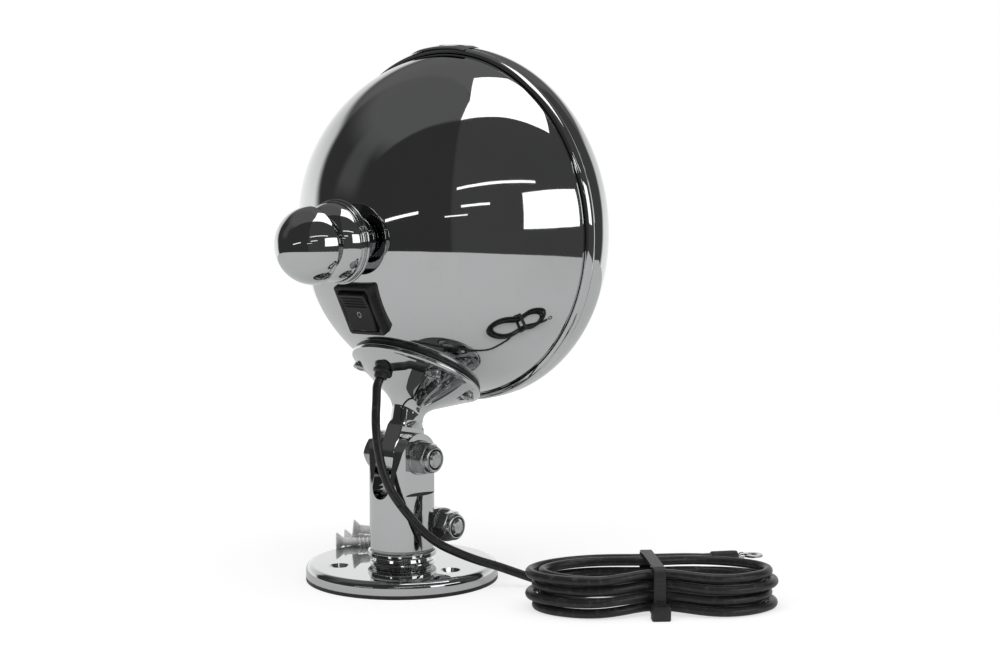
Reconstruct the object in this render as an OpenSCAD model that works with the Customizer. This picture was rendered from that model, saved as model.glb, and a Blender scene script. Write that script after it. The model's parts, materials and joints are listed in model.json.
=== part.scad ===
// Chrome deck light: a round base, a swivelling clamp post, a tilting spun head
// with a rocker switch on its back, and a tied lead that lies on the deck.
// Millimetres, +Z up, origin on the deck face at the centre of the base. The lens looks along -Y.

/* [Base] */
// Diameter of the base flange
base_d = 89; // [84:1:110]
// Thickness of the base flange
flange_t = 6; // [5:0.5:9]
// Rounding of the flange's top edge
flange_round = 3; // [1:0.5:4]
// Thickness of the rubber gasket under the base
base_gasket_t = 1.5; // [1:0.5:3]
// Diameter of the boss on the flange
boss_d = 28; // [24:1:31]
// Height of the boss under its collar
boss_h = 3.3; // [2:0.1:6]
// Diameter of the collar that the post turns on
collar_d = 32; // [30:1:36]
// Height of the collar
collar_h = 2.7; // [2:0.1:4]
// Diameter of the spigot inside the post
spigot_d = 18; // [14:0.5:19]
// Height of the spigot above the collar
spigot_h = 22; // [16:0.5:23]
// Number of mounting holes
hole_count = 3; // [3:1:6]
// Diameter of a mounting hole
hole_d = 5; // [4:0.1:6]
// Diameter of a mounting hole's countersink
hole_sink_d = 9.4; // [8:0.1:11]
// Diameter of the circle of mounting holes
hole_circle_d = 60; // [52:1:66]
// Turn of the hole circle from the back of the base
hole_turn = 30; // [0:1:60]

/* [Loose screws] */
// Shank diameter of a mounting screw
screw_d = 4.2; // [3.5:0.1:4.6]
// Head diameter of a mounting screw
screw_head_d = 8.6; // [7:0.1:9]
// Length of a mounting screw
screw_len = 28; // [22:1:32]

/* [Post] */
// Outer diameter of the post
post_d = 30; // [28:0.5:34]
// Height of the round part of the post
post_h = 25.5; // [24.5:0.5:32]
// Height of the tilt bolt above the round part
tilt_rise = 17; // [16:0.5:22]
// Width across the flats of the fork
fork_w = 23; // [20:0.5:25]
// Width of the fork's slot
slot_w = 10.4; // [9:0.1:12]
// Radius of the fork's rounded top
fork_round = 11; // [9.5:0.5:12]
// Thickness of the nylon washer under the post
washer_t = 1; // [0.6:0.1:2]
// Width of the clamping slit
slit_w = 2; // [1.5:0.1:3]
// Width across the two clamp lugs
lug_w = 22; // [18:0.5:25]
// Radius of the clamp lugs' rounded end
lug_round = 8; // [7.5:0.1:8.5]
// Distance of the clamp bolt from the post's axis
clamp_off = 15.5; // [14.5:0.5:18]
// Height of the clamp bolt above the post's lower face
clamp_rise = 9; // [8.6:0.1:12]
// Diameter of the clamp and tilt bolts
bolt_d = 8; // [7:0.5:8]
// Width across flats of the bolt heads and nuts
hex_af = 13; // [12:0.5:14]
// Height of a bolt head
hex_h = 5.3; // [4:0.1:6]
// Height of the hexagonal part of a nut
nut_h = 5.9; // [5:0.1:8]
// Height of a nut's round locking collar
nut_collar_h = 2.4; // [1:0.1:3]
// Diameter of a plain washer
plate_washer_d = 16; // [15:0.5:16.5]
// Thickness of a plain washer
plate_washer_t = 1.4; // [1:0.1:2]

/* [Head] */
// Upward tilt of the lens at rest
head_tilt = 5; // [0:1:10]
// Distance of the bowl's centre in front of the tilt bolt
head_fwd = 57.5; // [55:0.5:60]
// Height of the bowl's centre above the tilt bolt
head_rise = 102.2; // [100:0.2:106]
// Outer radius of the bowl
bowl_r = 82.5; // [80:0.5:84]
// Wall of the bowl
bowl_wall = 1.2; // [0.8:0.1:2]
// Depth of the bowl's straight lip inside the bezel
lip_len = 0.9; // [0.5:0.1:1.4]

/* [Bezel and lamp] */
// Wall of the bezel
bezel_wall = 1.6; // [1.2:0.1:2]
// Radius of the bezel's curved front
bezel_round = 20.5; // [20:0.5:23]
// Depth of the bezel's skirt behind the widest line
bezel_skirt = 7.6; // [5:0.2:9]
// Radius of the bead along the bezel's back edge
bead_r = 1; // [0.8:0.1:1.4]
// How far the bezel's front lip covers the rubber ring
lens_lip = 2.06; // [1.5:0.02:5]
// Clearance round the sealed lamp in the bezel
lamp_gap = 0.96; // [0.46:0.02:2]
// Thickness of the lens at its edge
lens_edge_t = 3.5; // [3:0.1:4]
// Bulge of the lens in front of its edge
lens_bulge = 8; // [5:0.5:12]
// Glass thickness of the lens and the reflector
glass_t = 3; // [2:0.1:3]
// Depth of the reflector behind the lens
reflector_depth = 47; // [42:1:52]
// Thickness of the rubber ring in front of the lamp
lamp_gasket_t = 1; // [0.8:0.1:1.5]
// Thickness of the ring that holds the lamp in the bezel
retainer_t = 1.3; // [1:0.1:2]
// Width of the clip over the bezel's seam
clip_w = 34; // [20:1:36]
// Length of the clip along the lamp's axis
clip_len = 12; // [10:0.5:18]
// Thickness of the clip
clip_t = 1; // [0.8:0.1:3]

/* [Knob] */
// Radius of the knob's foot on the bowl
knob_foot_r = 12; // [10:0.5:14]
// Height of the foot under the bell
knob_foot_h = 5; // [3:0.5:6]
// Radius of the bell's rim
bell_r = 18.8; // [17:0.2:19]
// Height of the bell under the knob's neck
bell_h = 13; // [11:0.5:15]
// Length of the ringed neck
knob_neck_h = 4; // [3:0.5:6]
// Radius of the neck's ring
knob_neck_r = 9.5; // [8.5:0.5:11]
// Radius of the domed grip
grip_r = 17.2; // [15:0.2:18.4]
// Diameter of the stud through the knob
stud_d = 6; // [5:0.5:8]

/* [Switch] */
// Gap between the saddle and the switch, along the bowl
switch_off = 5.2; // [1:0.1:10]
// Width of the switch frame
switch_w = 22; // [18:0.5:24]
// Length of the switch frame
switch_len = 24.6; // [22:0.2:25]
// Height of the switch frame above the bowl
switch_rim = 2.6; // [2:0.1:4]
// Depth of the switch body inside the bowl
switch_depth = 16; // [12:1:18]
// Wall of the switch frame round the rocker
switch_wall = 3; // [2.5:0.1:4]
// Diameter of the rocker's pivot pin
rocker_pin_d = 2; // [1.5:0.1:2.4]
// Height of the rocker's ends above its frame
rocker_lift = 1.6; // [1:0.1:2.5]

/* [Bracket] */
// Place of the bracket, in degrees from the bowl's lowest point towards its back
bracket_angle = 33.8; // [33:0.2:36]
// Radius of the dished saddle under the bowl
saddle_r = 31.5; // [31:0.5:34.5]
// Thickness of the saddle
saddle_t = 3; // [2.5:0.1:4]
// Thickness of the gasket between the saddle and the bowl
saddle_gasket_t = 1.2; // [0.8:0.1:2]
// Radius of the stem at its waist
stem_r = 7.6; // [6:0.2:8]
// Radius of the stem's flare at the saddle
flare_r = 30; // [20:0.5:30]
// Thickness of the tongue in the fork
tongue_t = 9.8; // [8:0.1:11.4]
// Radius of the tongue's round end
tongue_r = 10.5; // [9:0.5:11.5]
// Thread diameter of the saddle screws
saddle_screw_d = 4; // [3:0.5:5]
// Distance of the saddle screws from the saddle's centre, sideways
saddle_screw_x = 23; // [20:0.5:25]
// Distance of the saddle screws from the saddle's centre, fore and aft
saddle_screw_y = 13; // [10:0.5:15]

/* [Cord] */
// Diameter of the lead
cord_d = 4; // [3:0.1:4]
// Length of the rubber grommet below the saddle
grommet_len = 4.5; // [4:0.5:6]
// Half length of the tied hank
hank_half_len = 54; // [50:1:58]
// Half width of the hank's lobes
hank_half_w = 27; // [26:0.5:30]
// How far the tie draws in each side of the hank
hank_draw = 11; // [8:0.5:12]
// Sideways step from turn to turn
hank_step = 5.4; // [5.2:0.1:5.8]
// Thickness of the tie round the hank
tie_t = 1.2; // [1:0.1:1.5]
// Width of the tie
tie_w = 5; // [4:0.5:7]

/* [Hidden] */
$fn = 96;

// Clearances
run_gap = 0.05;
thread_gap = 0.03;
seat_gap = 0.1;
face_gap = 0.05;
loose_gap = 0.3;
bolt_gap = 0.25;
over = 1;
seam_lap = 0.02;

// Heights along the post
flange_z = base_gasket_t;
flange_top = flange_z + flange_t;
collar_z = flange_top + boss_h;
washer_z = collar_z + collar_h;
post_z = washer_z + washer_t;
fork_z = post_z + post_h;
tilt_z = fork_z + tilt_rise;
clamp_z = post_z + clamp_rise;
spigot_top = washer_z + spigot_h;
slot_drop = tilt_rise + 1.8;

// Radii along the lamp's axis, with u counted from the bowl's centre towards the lens
bezel_in_r = bowl_r + loose_gap;
bezel_out_r = bezel_in_r + bezel_wall;
bezel_arc_u = -8.4;
bezel_depth = 18.5;
bezel_front_u = bezel_arc_u + bezel_depth;
bezel_back_u = bezel_arc_u - bezel_skirt;
bezel_wide_r = sqrt(bezel_out_r * bezel_out_r - bezel_arc_u * bezel_arc_u);
bezel_arc_r = bezel_wide_r - bezel_round;
bowl_edge_r = sqrt(bowl_r * bowl_r - bezel_arc_u * bezel_arc_u);
lip_t = 1.5;
gasket_u = bezel_front_u - lip_t - lamp_gasket_t;
lens_back_u = gasket_u - lens_edge_t;
retainer_u = lens_back_u - seat_gap - retainer_t;
bezel_bore_r = bezel_round - bezel_wall;
retainer_reach = retainer_u + retainer_t - bezel_arc_u;
retainer_r = bezel_arc_r + sqrt(bezel_bore_r * bezel_bore_r - retainer_reach * retainer_reach) - loose_gap;
gasket_reach = gasket_u + lamp_gasket_t - bezel_arc_u;
gasket_r = bezel_arc_r + sqrt(bezel_bore_r * bezel_bore_r - gasket_reach * gasket_reach) - seat_gap;
aperture_r = gasket_r - lens_lip;
lens_reach = gasket_u - bezel_arc_u;
lamp_r = bezel_arc_r + sqrt(bezel_bore_r * bezel_bore_r - lens_reach * lens_reach) - lamp_gap;
lamp_rim_w = 4;
reflector_r = lamp_r - lamp_rim_w;
dome_r = aperture_r - 1;
dome_sphere_r = (dome_r * dome_r + lens_bulge * lens_bulge) / (2 * lens_bulge);
reflector_sphere_r = (reflector_r * reflector_r + reflector_depth * reflector_depth) / (2 * reflector_depth);
reflector_pole_u = lens_back_u - reflector_depth;
burner_seat_r = 16;
burner_r = 5;
burner_len = 26;
terminal_r = 3;
terminal_gap = 9;
terminal_len = 8;

// Fasteners
screw_head_h = (screw_head_d - screw_d) / 2 + 1.6;
screw_point = 6;
screw_tip_d = 0.8;
screw_row_y = 34;
screw_back = 4;
screw_stagger = 3.8;
nut_collar_r = hex_af / 2 - 0.2;
small_head_r = 3.6;
small_head_h = 2.4;
small_nut_af = 7;
small_nut_h = 3.2;
clip_screw_d = 3;
clip_screw_len = 6;
clip_head_d = 5;
clip_back = 2.6;
saddle_screw_len = 16;
grub_d = 4;
grub_len = 13.5;

// Saddle, counted outwards from the bowl's centre
saddle_in = bowl_r + saddle_gasket_t;
saddle_out = saddle_in + saddle_t;
stem_top = [0, saddle_out * sin(bracket_angle) - head_fwd, head_rise - saddle_out * cos(bracket_angle)];
stem_lean = atan2(-stem_top[1], stem_top[2]);
flare_h = 8;
flare_sink = 0.6;
relief_r = 8;
relief_h = 1;
elbow = saddle_out + flare_h;
flare_seat = sqrt(saddle_out * saddle_out - flare_r * flare_r);
flare_lip = 1;
stem_blend = 4;
foot_in = 0.1;
head_room = 0.5;
stem_low = fork_round + 1.6;
grommet_x = 0.5;
grommet_y = -20.5;
grommet_r = 4.6;
grommet_hole_r = 3.2;
grommet_seat = sqrt(saddle_out * saddle_out - grommet_x * grommet_x - grommet_y * grommet_y);

// Switch
switch_angle = bracket_angle + (saddle_r + switch_off + switch_len / 2) / bowl_r * 180 / PI;
switch_cut = 12;
switch_body_gap = 0.3;
switch_body_w = switch_w - 3.4;
switch_body_len = switch_len - 3;
rocker_w = switch_w - 2 * switch_wall;
rocker_len = switch_len - 2 * switch_wall + 1.2;
rocker_pit = 7;
rocker_gap = 0.4;
pin_drop = 1;
rocker_tip = 8;
rocker_rake = (switch_rim + rocker_lift + pin_drop) * sin(rocker_tip);

// Route of the lead from the grommet's mouth to the hank
photo_turn = 223.6;
lead_points = [[0.5, 13.6, 93.6], [0.5, 15.5, 90.2], [-1.5, 18, 84], [-3, 20, 77.5], [-5, 21.8, 71],
    [-7, 22.5, 62.5], [-9, 22, 54], [-12.3, 20.3, 45], [-16.2, 17.7, 38], [-20.7, 14.8, 31.5],
    [-25, 12, 26], [-30.2, 7.2, 20.5], [-36, 0.5, 16], [-41.5, -5.7, 12.6], [-47.8, -12.8, 9.4],
    [-54.5, -18.8, 6.2], [-61.5, -22.5, 4], [-69, -25, 2.8], [-77.5, -27.6, 2.4], [-85.5, -30, 2.7]];
lead_steps = 2;
lead_sides = 8;

// Hank: its own x runs along the hank, and its y points towards the lens side
hank_at = [-121, -28];
hank_turn = photo_turn;
hank_turns = 1.5;
hank_layers = 4;
hank_pitch = cord_d + 0.6;
hank_waist = 20;
hank_start = 105.6;
hank_in = hank_turns + (hank_start - 90) / 360;
hank_end = 6.125;
hank_rings = 24;
hank_sides = 6;
hank_lift = tie_t + 0.5;
tail_len = 12;
sleeve_len = 12;
ring_r = 4.6;
ring_hole_d = 4.3;
ring_t = 1;
ring_neck_w = 3.2;
crimp_len = 7;

chrome = [0.78, 0.79, 0.8];
steel = [0.62, 0.63, 0.64];
black = [0.08, 0.08, 0.085];
glass = [0.85, 0.9, 0.93];
nylon = [0.9, 0.9, 0.86];

// Frames
module in_head() translate([0, 0, tilt_z]) rotate([-head_tilt, 0, 0]) children();
module at_bowl() in_head() translate([0, -head_fwd, head_rise]) children();
module on_lamp_axis() at_bowl() rotate([90, 0, 0]) children();
// Out from the bowl's lower back: +Z leaves the bowl, +Y runs forwards
module on_bowl(angle) at_bowl() rotate([180 + angle, 0, 0]) children();
module along_x() rotate([0, 90, 0]) children();

// Small shapes
module hexagon(af, h) cylinder(d = af * 2 / sqrt(3), h = h, $fn = 6);
module ring(outer_r, inner_r, h) difference() {
    cylinder(r = outer_r, h = h);
    translate([0, 0, -over]) cylinder(r = inner_r, h = h + 2 * over);
}
// Half of a spherical shell, cut to a disc of radius r about its pole
module dish_profile(in_r, out_r, r) intersection() {
    difference() {
        circle(r = out_r, $fn = 240);
        circle(r = in_r, $fn = 240);
    }
    square([r, out_r + over]);
}
module dish(in_r, out_r, r) rotate_extrude() dish_profile(in_r, out_r, r);
module lock_nut() difference() {
    union() {
        hexagon(hex_af, nut_h);
        cylinder(r = nut_collar_r, h = nut_h + nut_collar_h);
    }
    translate([0, 0, -over]) cylinder(d = bolt_d + 2 * thread_gap, h = nut_h + nut_collar_h + 2 * over);
}
module saddle_screw_places() for (sx = [-1, 1], sy = [-1, 1])
    let (x = sx * saddle_screw_x, y = sy * saddle_screw_y)
    translate([x, y, 0]) children();

// A tube of few sides along points, with end caps
function unit(v) = v / norm(v);
function tangent(p, i) = unit(p[min(i + 1, len(p) - 1)] - p[max(i - 1, 0)]);
function ring_points(p, i, ref, r, n) =
    let (t = tangent(p, i), u = unit(cross(t, ref)), v = cross(u, t))
    [for (k = [0 : n - 1]) p[i] + r * (cos(360 * k / n) * u + sin(360 * k / n) * v)];
module tube(p, ref, r, n) {
    rings = len(p);
    body = [for (i = [0 : rings - 1]) each ring_points(p, i, ref, r, n)];
    walls = [for (i = [0 : rings - 2], k = [0 : n - 1])
        let (a = i * n + k, b = i * n + (k + 1) % n)
        each [[a, b, b + n], [a, b + n, a + n]]];
    near = [for (k = [1 : n - 2]) [0, k + 1, k]];
    far = [for (k = [1 : n - 2]) [(rings - 1) * n, (rings - 1) * n + k, (rings - 1) * n + k + 1]];
    polyhedron(concat(body), concat(walls, near, far));
}
function spline_at(a, b, c, d, t) = 0.5 * (2 * b + (c - a) * t + (2 * a - 5 * b + 4 * c - d) * t * t
    + (3 * b - 3 * c + d - a) * t * t * t);
function spline(p, steps) = concat([for (i = [0 : len(p) - 2], k = [0 : steps - 1])
    spline_at(p[max(i - 1, 0)], p[i], p[i + 1], p[min(i + 2, len(p) - 1)], k / steps)], [p[len(p) - 1]]);

// Base
module mounting_holes(z, sink) for (i = [0 : hole_count - 1])
    let (a = 90 - hole_turn - i * 360 / hole_count)
    translate([hole_circle_d / 2 * cos(a), hole_circle_d / 2 * sin(a), z]) {
        translate([0, 0, -over]) cylinder(d = hole_d, h = flange_t + base_gasket_t + 2 * over);
        if (sink) translate([0, 0, flange_t - (hole_sink_d - hole_d) / 2])
            cylinder(d1 = hole_d, d2 = hole_sink_d + 2 * over, h = (hole_sink_d - hole_d) / 2 + over);
    }
module flange_profile() {
    square([base_d / 2 - flange_round, flange_t]);
    square([base_d / 2, flange_t - flange_round]);
    translate([base_d / 2 - flange_round, flange_t - flange_round]) circle(r = flange_round);
}
module base_flange() color(chrome) difference() {
    union() {
        translate([0, 0, flange_z]) rotate_extrude($fn = 180) flange_profile();
        translate([0, 0, flange_top]) cylinder(d = boss_d, h = boss_h);
        translate([0, 0, collar_z]) cylinder(d = collar_d, h = collar_h);
        translate([0, 0, washer_z]) cylinder(d = spigot_d, h = spigot_h);
    }
    mounting_holes(flange_z, true);
}
module base_gasket() color(black) difference() {
    cylinder(d = base_d, h = base_gasket_t, $fn = 180);
    mounting_holes(0, false);
}

// Loose flat-head screws that lie on the back of the flange
module wood_screw() {
    cylinder(d1 = screw_head_d, d2 = screw_d, h = screw_head_h - 1);
    cylinder(d = screw_d, h = screw_len - screw_point);
    translate([0, 0, screw_len - screw_point]) cylinder(d1 = screw_d, d2 = screw_tip_d, h = screw_point);
}
module mounting_screws() color(steel) {
    row_z = flange_top + screw_d / 2 + seat_gap / 2;
    apart = screw_head_d - 1.5;
    stack = (screw_head_d + screw_d) / 2 + 0.2;
    stack_z = sqrt(stack * stack - apart * apart / 4);
    tip_z = screw_d + 0.2;
    tip_rise = sqrt(tip_z * tip_z - apart * apart / 4);
    rotate([0, 0, photo_turn]) {
        for (i = [0, 1]) translate([-screw_len - screw_back + screw_stagger * i, screw_row_y + apart * i, row_z]) along_x() wood_screw();
        translate([-screw_len + screw_back, screw_row_y + apart / 2, row_z + stack_z])
            rotate([0, 90 + atan((stack_z - tip_rise) / screw_len), 0]) wood_screw();
    }
}
module swivel_washer() color(nylon) translate([0, 0, washer_z])
    ring(post_d / 2 - 0.5, spigot_d / 2 + run_gap, washer_t);

// Post
module fork_outline() {
    circle(r = fork_round);
    spread = post_d / 2;
    lean = acos(fork_round / norm([spread, tilt_rise])) - atan(tilt_rise / spread);
    touch = fork_round * [cos(lean), sin(lean)];
    polygon([touch, [spread, -tilt_rise], [-spread, -tilt_rise], [-touch[0], touch[1]]]);
}
module fork() intersection() {
    translate([0, 0, fork_z - over]) cylinder(d = post_d, h = tilt_rise + fork_round + 2 * over);
    translate([-fork_w / 2, 0, tilt_z]) rotate([90, 0, 90]) linear_extrude(fork_w) fork_outline();
}
module lugs() translate([-lug_w / 2, 0, clamp_z]) rotate([90, 0, 90]) linear_extrude(lug_w) {
    translate([-clamp_off, 0]) circle(r = lug_round);
    translate([-clamp_off, -lug_round]) square([clamp_off, 2 * lug_round]);
}
module slot_outline() translate([0, tilt_z - slot_drop + slot_w / 2]) {
    circle(d = slot_w);
    translate([-slot_w / 2, 0]) square([slot_w, slot_drop + fork_round + over]);
}
module clamp_post() color(chrome) difference() {
    union() {
        translate([0, 0, post_z]) cylinder(d = post_d, h = post_h);
        fork();
        lugs();
    }
    translate([0, 0, post_z - over]) cylinder(d = spigot_d + 2 * run_gap, h = spigot_h - washer_t + over + loose_gap);
    translate([-slit_w / 2, -clamp_off - lug_round - over, post_z - over])
        cube([slit_w, clamp_off + lug_round + over, spigot_h + over + loose_gap - washer_t]);
    rotate([90, 0, 0]) translate([0, 0, -post_d]) linear_extrude(2 * post_d) slot_outline();
    for (side = [0, 180]) rotate([0, 0, side]) translate([lug_w / 2, side == 0 ? -clamp_off : clamp_off, clamp_z])
        along_x() cylinder(d = plate_washer_d + 2 * loose_gap, h = post_d);
    for (h = [[0, tilt_z, run_gap], [-clamp_off, clamp_z, bolt_gap]])
        translate([-post_d, h[0], h[1]]) along_x() cylinder(d = bolt_d + 2 * h[2], h = 2 * post_d);
}
// A bolt along X with its head at the +X end, for a grip of the given width
module cross_bolt(grip) {
    seat = grip / 2 + plate_washer_t;
    tail = seat + nut_h + nut_collar_h + 1;
    translate([seat, 0, 0]) along_x() {
        hexagon(hex_af, hex_h);
        cylinder(d = hex_af - 1, h = hex_h + 0.6);
    }
    translate([-tail, 0, 0]) along_x() cylinder(d = bolt_d, h = seat + tail);
}
module cross_nut(grip) translate([-grip / 2 - plate_washer_t, 0, 0]) rotate([0, -90, 0]) lock_nut();
module cross_washers(grip) for (x = [-grip / 2 - plate_washer_t, grip / 2])
    translate([x, 0, 0]) along_x() ring(plate_washer_d / 2, bolt_d / 2 + bolt_gap, plate_washer_t);
module at_clamp() translate([0, -clamp_off, clamp_z]) children();
module at_tilt() translate([0, 0, tilt_z]) children();
module clamp_bolt() color(steel) at_clamp() cross_bolt(lug_w);
module clamp_nut() color(steel) at_clamp() cross_nut(lug_w);
module clamp_washers() color(steel) at_clamp() cross_washers(lug_w);
module tilt_bolt() color(steel) at_tilt() cross_bolt(fork_w);
module tilt_nut() color(steel) at_tilt() cross_nut(fork_w);
module tilt_washers() color(steel) at_tilt() cross_washers(fork_w);

// Bracket: tongue, stem, flare and dished saddle
// Slanting cone from the saddle to the stem, hollow over the bowl
module flare() difference() {
    hull() {
        translate([0, 0, flare_seat - 2 * flare_sink]) cylinder(r = flare_r, h = flare_sink);
        translate([0, flare_h * tan(bracket_angle - stem_lean), elbow - over]) cylinder(r = stem_r + flare_lip, h = over);
    }
    sphere(r = saddle_in + saddle_t / 2, $fn = 120);
}
module tongue_profile() hull() {
    circle(r = tongue_r);
    rotate(stem_lean) translate([-stem_r, 0]) square([2 * stem_r, stem_low + over]);
}
module head_bracket() color(chrome) difference() {
    union() {
        on_bowl(bracket_angle) {
            rotate_extrude() difference() {
                dish_profile(saddle_in, saddle_out, saddle_r);
                square([relief_r, saddle_in + relief_h]);
            }
            flare();
        }
        in_head() {
            rotate([stem_lean, 0, 0]) hull() {
                translate([foot_in - tongue_t / 2, foot_in - stem_r, stem_low])
                    cube([tongue_t - 2 * foot_in, 2 * (stem_r - foot_in), over]);
                translate([0, 0, stem_low + stem_blend])
                    cylinder(r = stem_r, h = norm(stem_top) - stem_low - stem_blend - saddle_t / 2);
            }
            rotate([90, 0, 90]) translate([0, 0, -tongue_t / 2]) linear_extrude(tongue_t) tongue_profile();
        }
    }
    in_head() translate([-post_d, 0, 0]) along_x() cylinder(d = bolt_d + 2 * run_gap, h = 2 * post_d);
    on_bowl(bracket_angle) {
        saddle_screw_places() cylinder(d = saddle_screw_d + 2 * bolt_gap, h = elbow);
        saddle_screw_places() translate([0, 0, screw_seat]) cylinder(r = small_head_r + head_room, h = elbow);
        translate([grommet_x, grommet_y, 0]) cylinder(r = grommet_hole_r + seat_gap, h = elbow);
        translate([grommet_x, grommet_y, grommet_seat]) cylinder(r = grommet_r + seat_gap, h = elbow);
    }
}
module saddle_gasket() color(black) on_bowl(bracket_angle) difference() {
    dish(bowl_r + face_gap, saddle_in - face_gap, saddle_r - 1);
    saddle_screw_places() cylinder(d = saddle_screw_d + 2 * bolt_gap, h = elbow);
    translate([grommet_x, grommet_y, 0]) cylinder(r = grommet_hole_r + seat_gap, h = elbow);
}
// Height over the bowl's centre of the saddle's face under a screw
screw_seat = sqrt(saddle_out * saddle_out - saddle_screw_x * saddle_screw_x - saddle_screw_y * saddle_screw_y);
module saddle_screws() color(steel) on_bowl(bracket_angle) saddle_screw_places() {
    translate([0, 0, screw_seat]) cylinder(r = small_head_r, h = small_head_h);
    translate([0, 0, screw_seat - saddle_screw_len]) cylinder(d = saddle_screw_d, h = saddle_screw_len + over);
}
module saddle_nuts() color(steel) on_bowl(bracket_angle) saddle_screw_places() {
    reach = norm([saddle_screw_x, saddle_screw_y]) + small_nut_af / sqrt(3);
    inner = bowl_r - bowl_wall;
    translate([0, 0, sqrt(inner * inner - reach * reach) - small_nut_h]) difference() {
        hexagon(small_nut_af, small_nut_h);
        translate([0, 0, -over]) cylinder(d = saddle_screw_d + 2 * thread_gap, h = small_nut_h + 2 * over);
    }
}
module cord_grommet() color(black) on_bowl(bracket_angle) translate([grommet_x, grommet_y, 0]) {
    low = saddle_in - 3;
    mouth = saddle_out + grommet_len;
    difference() {
        union() {
            translate([0, 0, low]) cylinder(r = grommet_hole_r, h = mouth - low - over);
            translate([0, 0, grommet_seat]) cylinder(r1 = grommet_r, r2 = cord_d / 2 + 0.9, h = mouth - grommet_seat);
        }
        translate([0, 0, low - over]) cylinder(d = cord_d - 0.4, h = mouth - low - 3 + over);
    }
}

// Bowl
module bowl_shell() color(chrome) difference() {
    on_lamp_axis() rotate_extrude($fn = 240) {
        intersection() {
            difference() {
                circle(r = bowl_r, $fn = 240);
                circle(r = bowl_r - bowl_wall, $fn = 240);
            }
            translate([0, -bowl_r - over]) square([bowl_r + over, bowl_r + over + bezel_arc_u]);
        }
        translate([bowl_edge_r - bowl_wall, bezel_arc_u]) square([bowl_wall, lip_len]);
    }
    on_bowl(90) cylinder(d = stud_d + 2 * seat_gap, h = bowl_r + over);
    on_lamp_axis() clip_screw_hole();
    on_bowl(switch_angle) translate([0, 0, bowl_r]) cube([switch_body_w + 2 * switch_body_gap, switch_body_len + 2 * switch_body_gap, switch_cut], center = true);
    on_bowl(bracket_angle) {
        translate([0, 0, bowl_r / 2]) saddle_screw_places() cylinder(d = saddle_screw_d + 2 * bolt_gap, h = bowl_r);
        translate([grommet_x, grommet_y, bowl_r / 2]) cylinder(r = grommet_hole_r + seat_gap, h = bowl_r);
    }
}

// Bezel and lamp
module bezel_profile() {
    intersection() {
        translate([bezel_arc_r, bezel_arc_u]) difference() {
            circle(r = bezel_round);
            circle(r = bezel_bore_r);
        }
        translate([bezel_arc_r, bezel_arc_u]) square([bezel_round + over, bezel_front_u - bezel_arc_u]);
    }
    intersection() {
        difference() {
            circle(r = bezel_out_r, $fn = 360);
            circle(r = bezel_in_r, $fn = 360);
        }
        translate([bezel_arc_r, bezel_back_u]) square([bezel_round + over, bezel_skirt + seam_lap]);
    }
    bead_u = bezel_back_u + bead_r;
    bead_out = bezel_out_r - bead_r / 2;
    translate([sqrt(bead_out * bead_out - bead_u * bead_u), bead_u]) circle(r = bead_r, $fn = 32);
    front_r = bezel_arc_r + sqrt(bezel_round * bezel_round - pow(bezel_front_u - bezel_arc_u, 2));
    translate([aperture_r, bezel_front_u - lip_t]) square([front_r - aperture_r, lip_t]);
}
module bezel_ring() color(chrome) on_lamp_axis() difference() {
    rotate_extrude($fn = 240) bezel_profile();
    clip_screw_hole();
}
clip_u = bezel_arc_u - clip_back;
module at_clip() translate([0, 0, clip_u]) rotate([-90, 0, 0]) children();
module clip_screw_hole() at_clip() cylinder(d = clip_screw_d + 2 * seat_gap, h = 2 * bezel_out_r);
clip_in_r = bezel_wide_r + seat_gap;
module clip_sink(gap, drop) at_clip() translate([0, 0, clip_in_r])
    cylinder(d1 = clip_screw_d + 2 * gap, d2 = clip_head_d + 2 * gap, h = clip_t - drop);
module bezel_clip() color(chrome) on_lamp_axis() difference() {
    translate([0, 0, clip_u - clip_len / 2]) intersection() {
        ring(clip_in_r + clip_t, clip_in_r, clip_len);
        translate([-clip_w / 2, 0, 0]) cube([clip_w, 2 * bezel_out_r, clip_len]);
    }
    clip_screw_hole();
    clip_sink(seat_gap, 0);
}
module clip_screw() color(steel) on_lamp_axis() {
    clip_sink(0, face_gap);
    at_clip() translate([0, 0, clip_in_r - clip_screw_len]) cylinder(d = clip_screw_d, h = clip_screw_len + face_gap);
}
module lamp_gasket() color(black) on_lamp_axis() translate([0, 0, gasket_u])
    ring(gasket_r, dome_r + loose_gap, lamp_gasket_t);
module lamp_lens() color(glass) on_lamp_axis() rotate_extrude($fn = 180) {
    intersection() {
        translate([0, gasket_u + lens_bulge - dome_sphere_r]) difference() {
            circle(r = dome_sphere_r, $fn = 360);
            circle(r = dome_sphere_r - glass_t, $fn = 360);
        }
        translate([0, lens_back_u]) square([dome_r, lens_bulge + lens_edge_t + over]);
    }
    translate([dome_r - 6, lens_back_u]) square([lamp_r - dome_r + 6, lens_edge_t]);
}
module lamp_reflector() color(chrome) on_lamp_axis() difference() {
    rotate_extrude($fn = 180) {
        intersection() {
            translate([0, reflector_pole_u + reflector_sphere_r]) difference() {
                circle(r = reflector_sphere_r, $fn = 300);
                circle(r = reflector_sphere_r - glass_t, $fn = 300);
            }
            translate([0, reflector_pole_u]) square([reflector_r, reflector_depth]);
        }
        translate([0, reflector_pole_u - 4]) square([burner_seat_r, 5]);
    }
    translate([0, 0, reflector_pole_u - 5]) cylinder(r = burner_r, h = 12);
    for (x = [-terminal_gap, terminal_gap])
        translate([x, 0, reflector_pole_u - 5]) cylinder(r = terminal_r, h = 4);
}
module lamp_burner() color(glass) on_lamp_axis() translate([0, 0, reflector_pole_u - 4]) {
    cylinder(r = burner_r - run_gap, h = burner_len - burner_r);
    translate([0, 0, burner_len - burner_r]) sphere(r = burner_r - run_gap);
}
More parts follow.
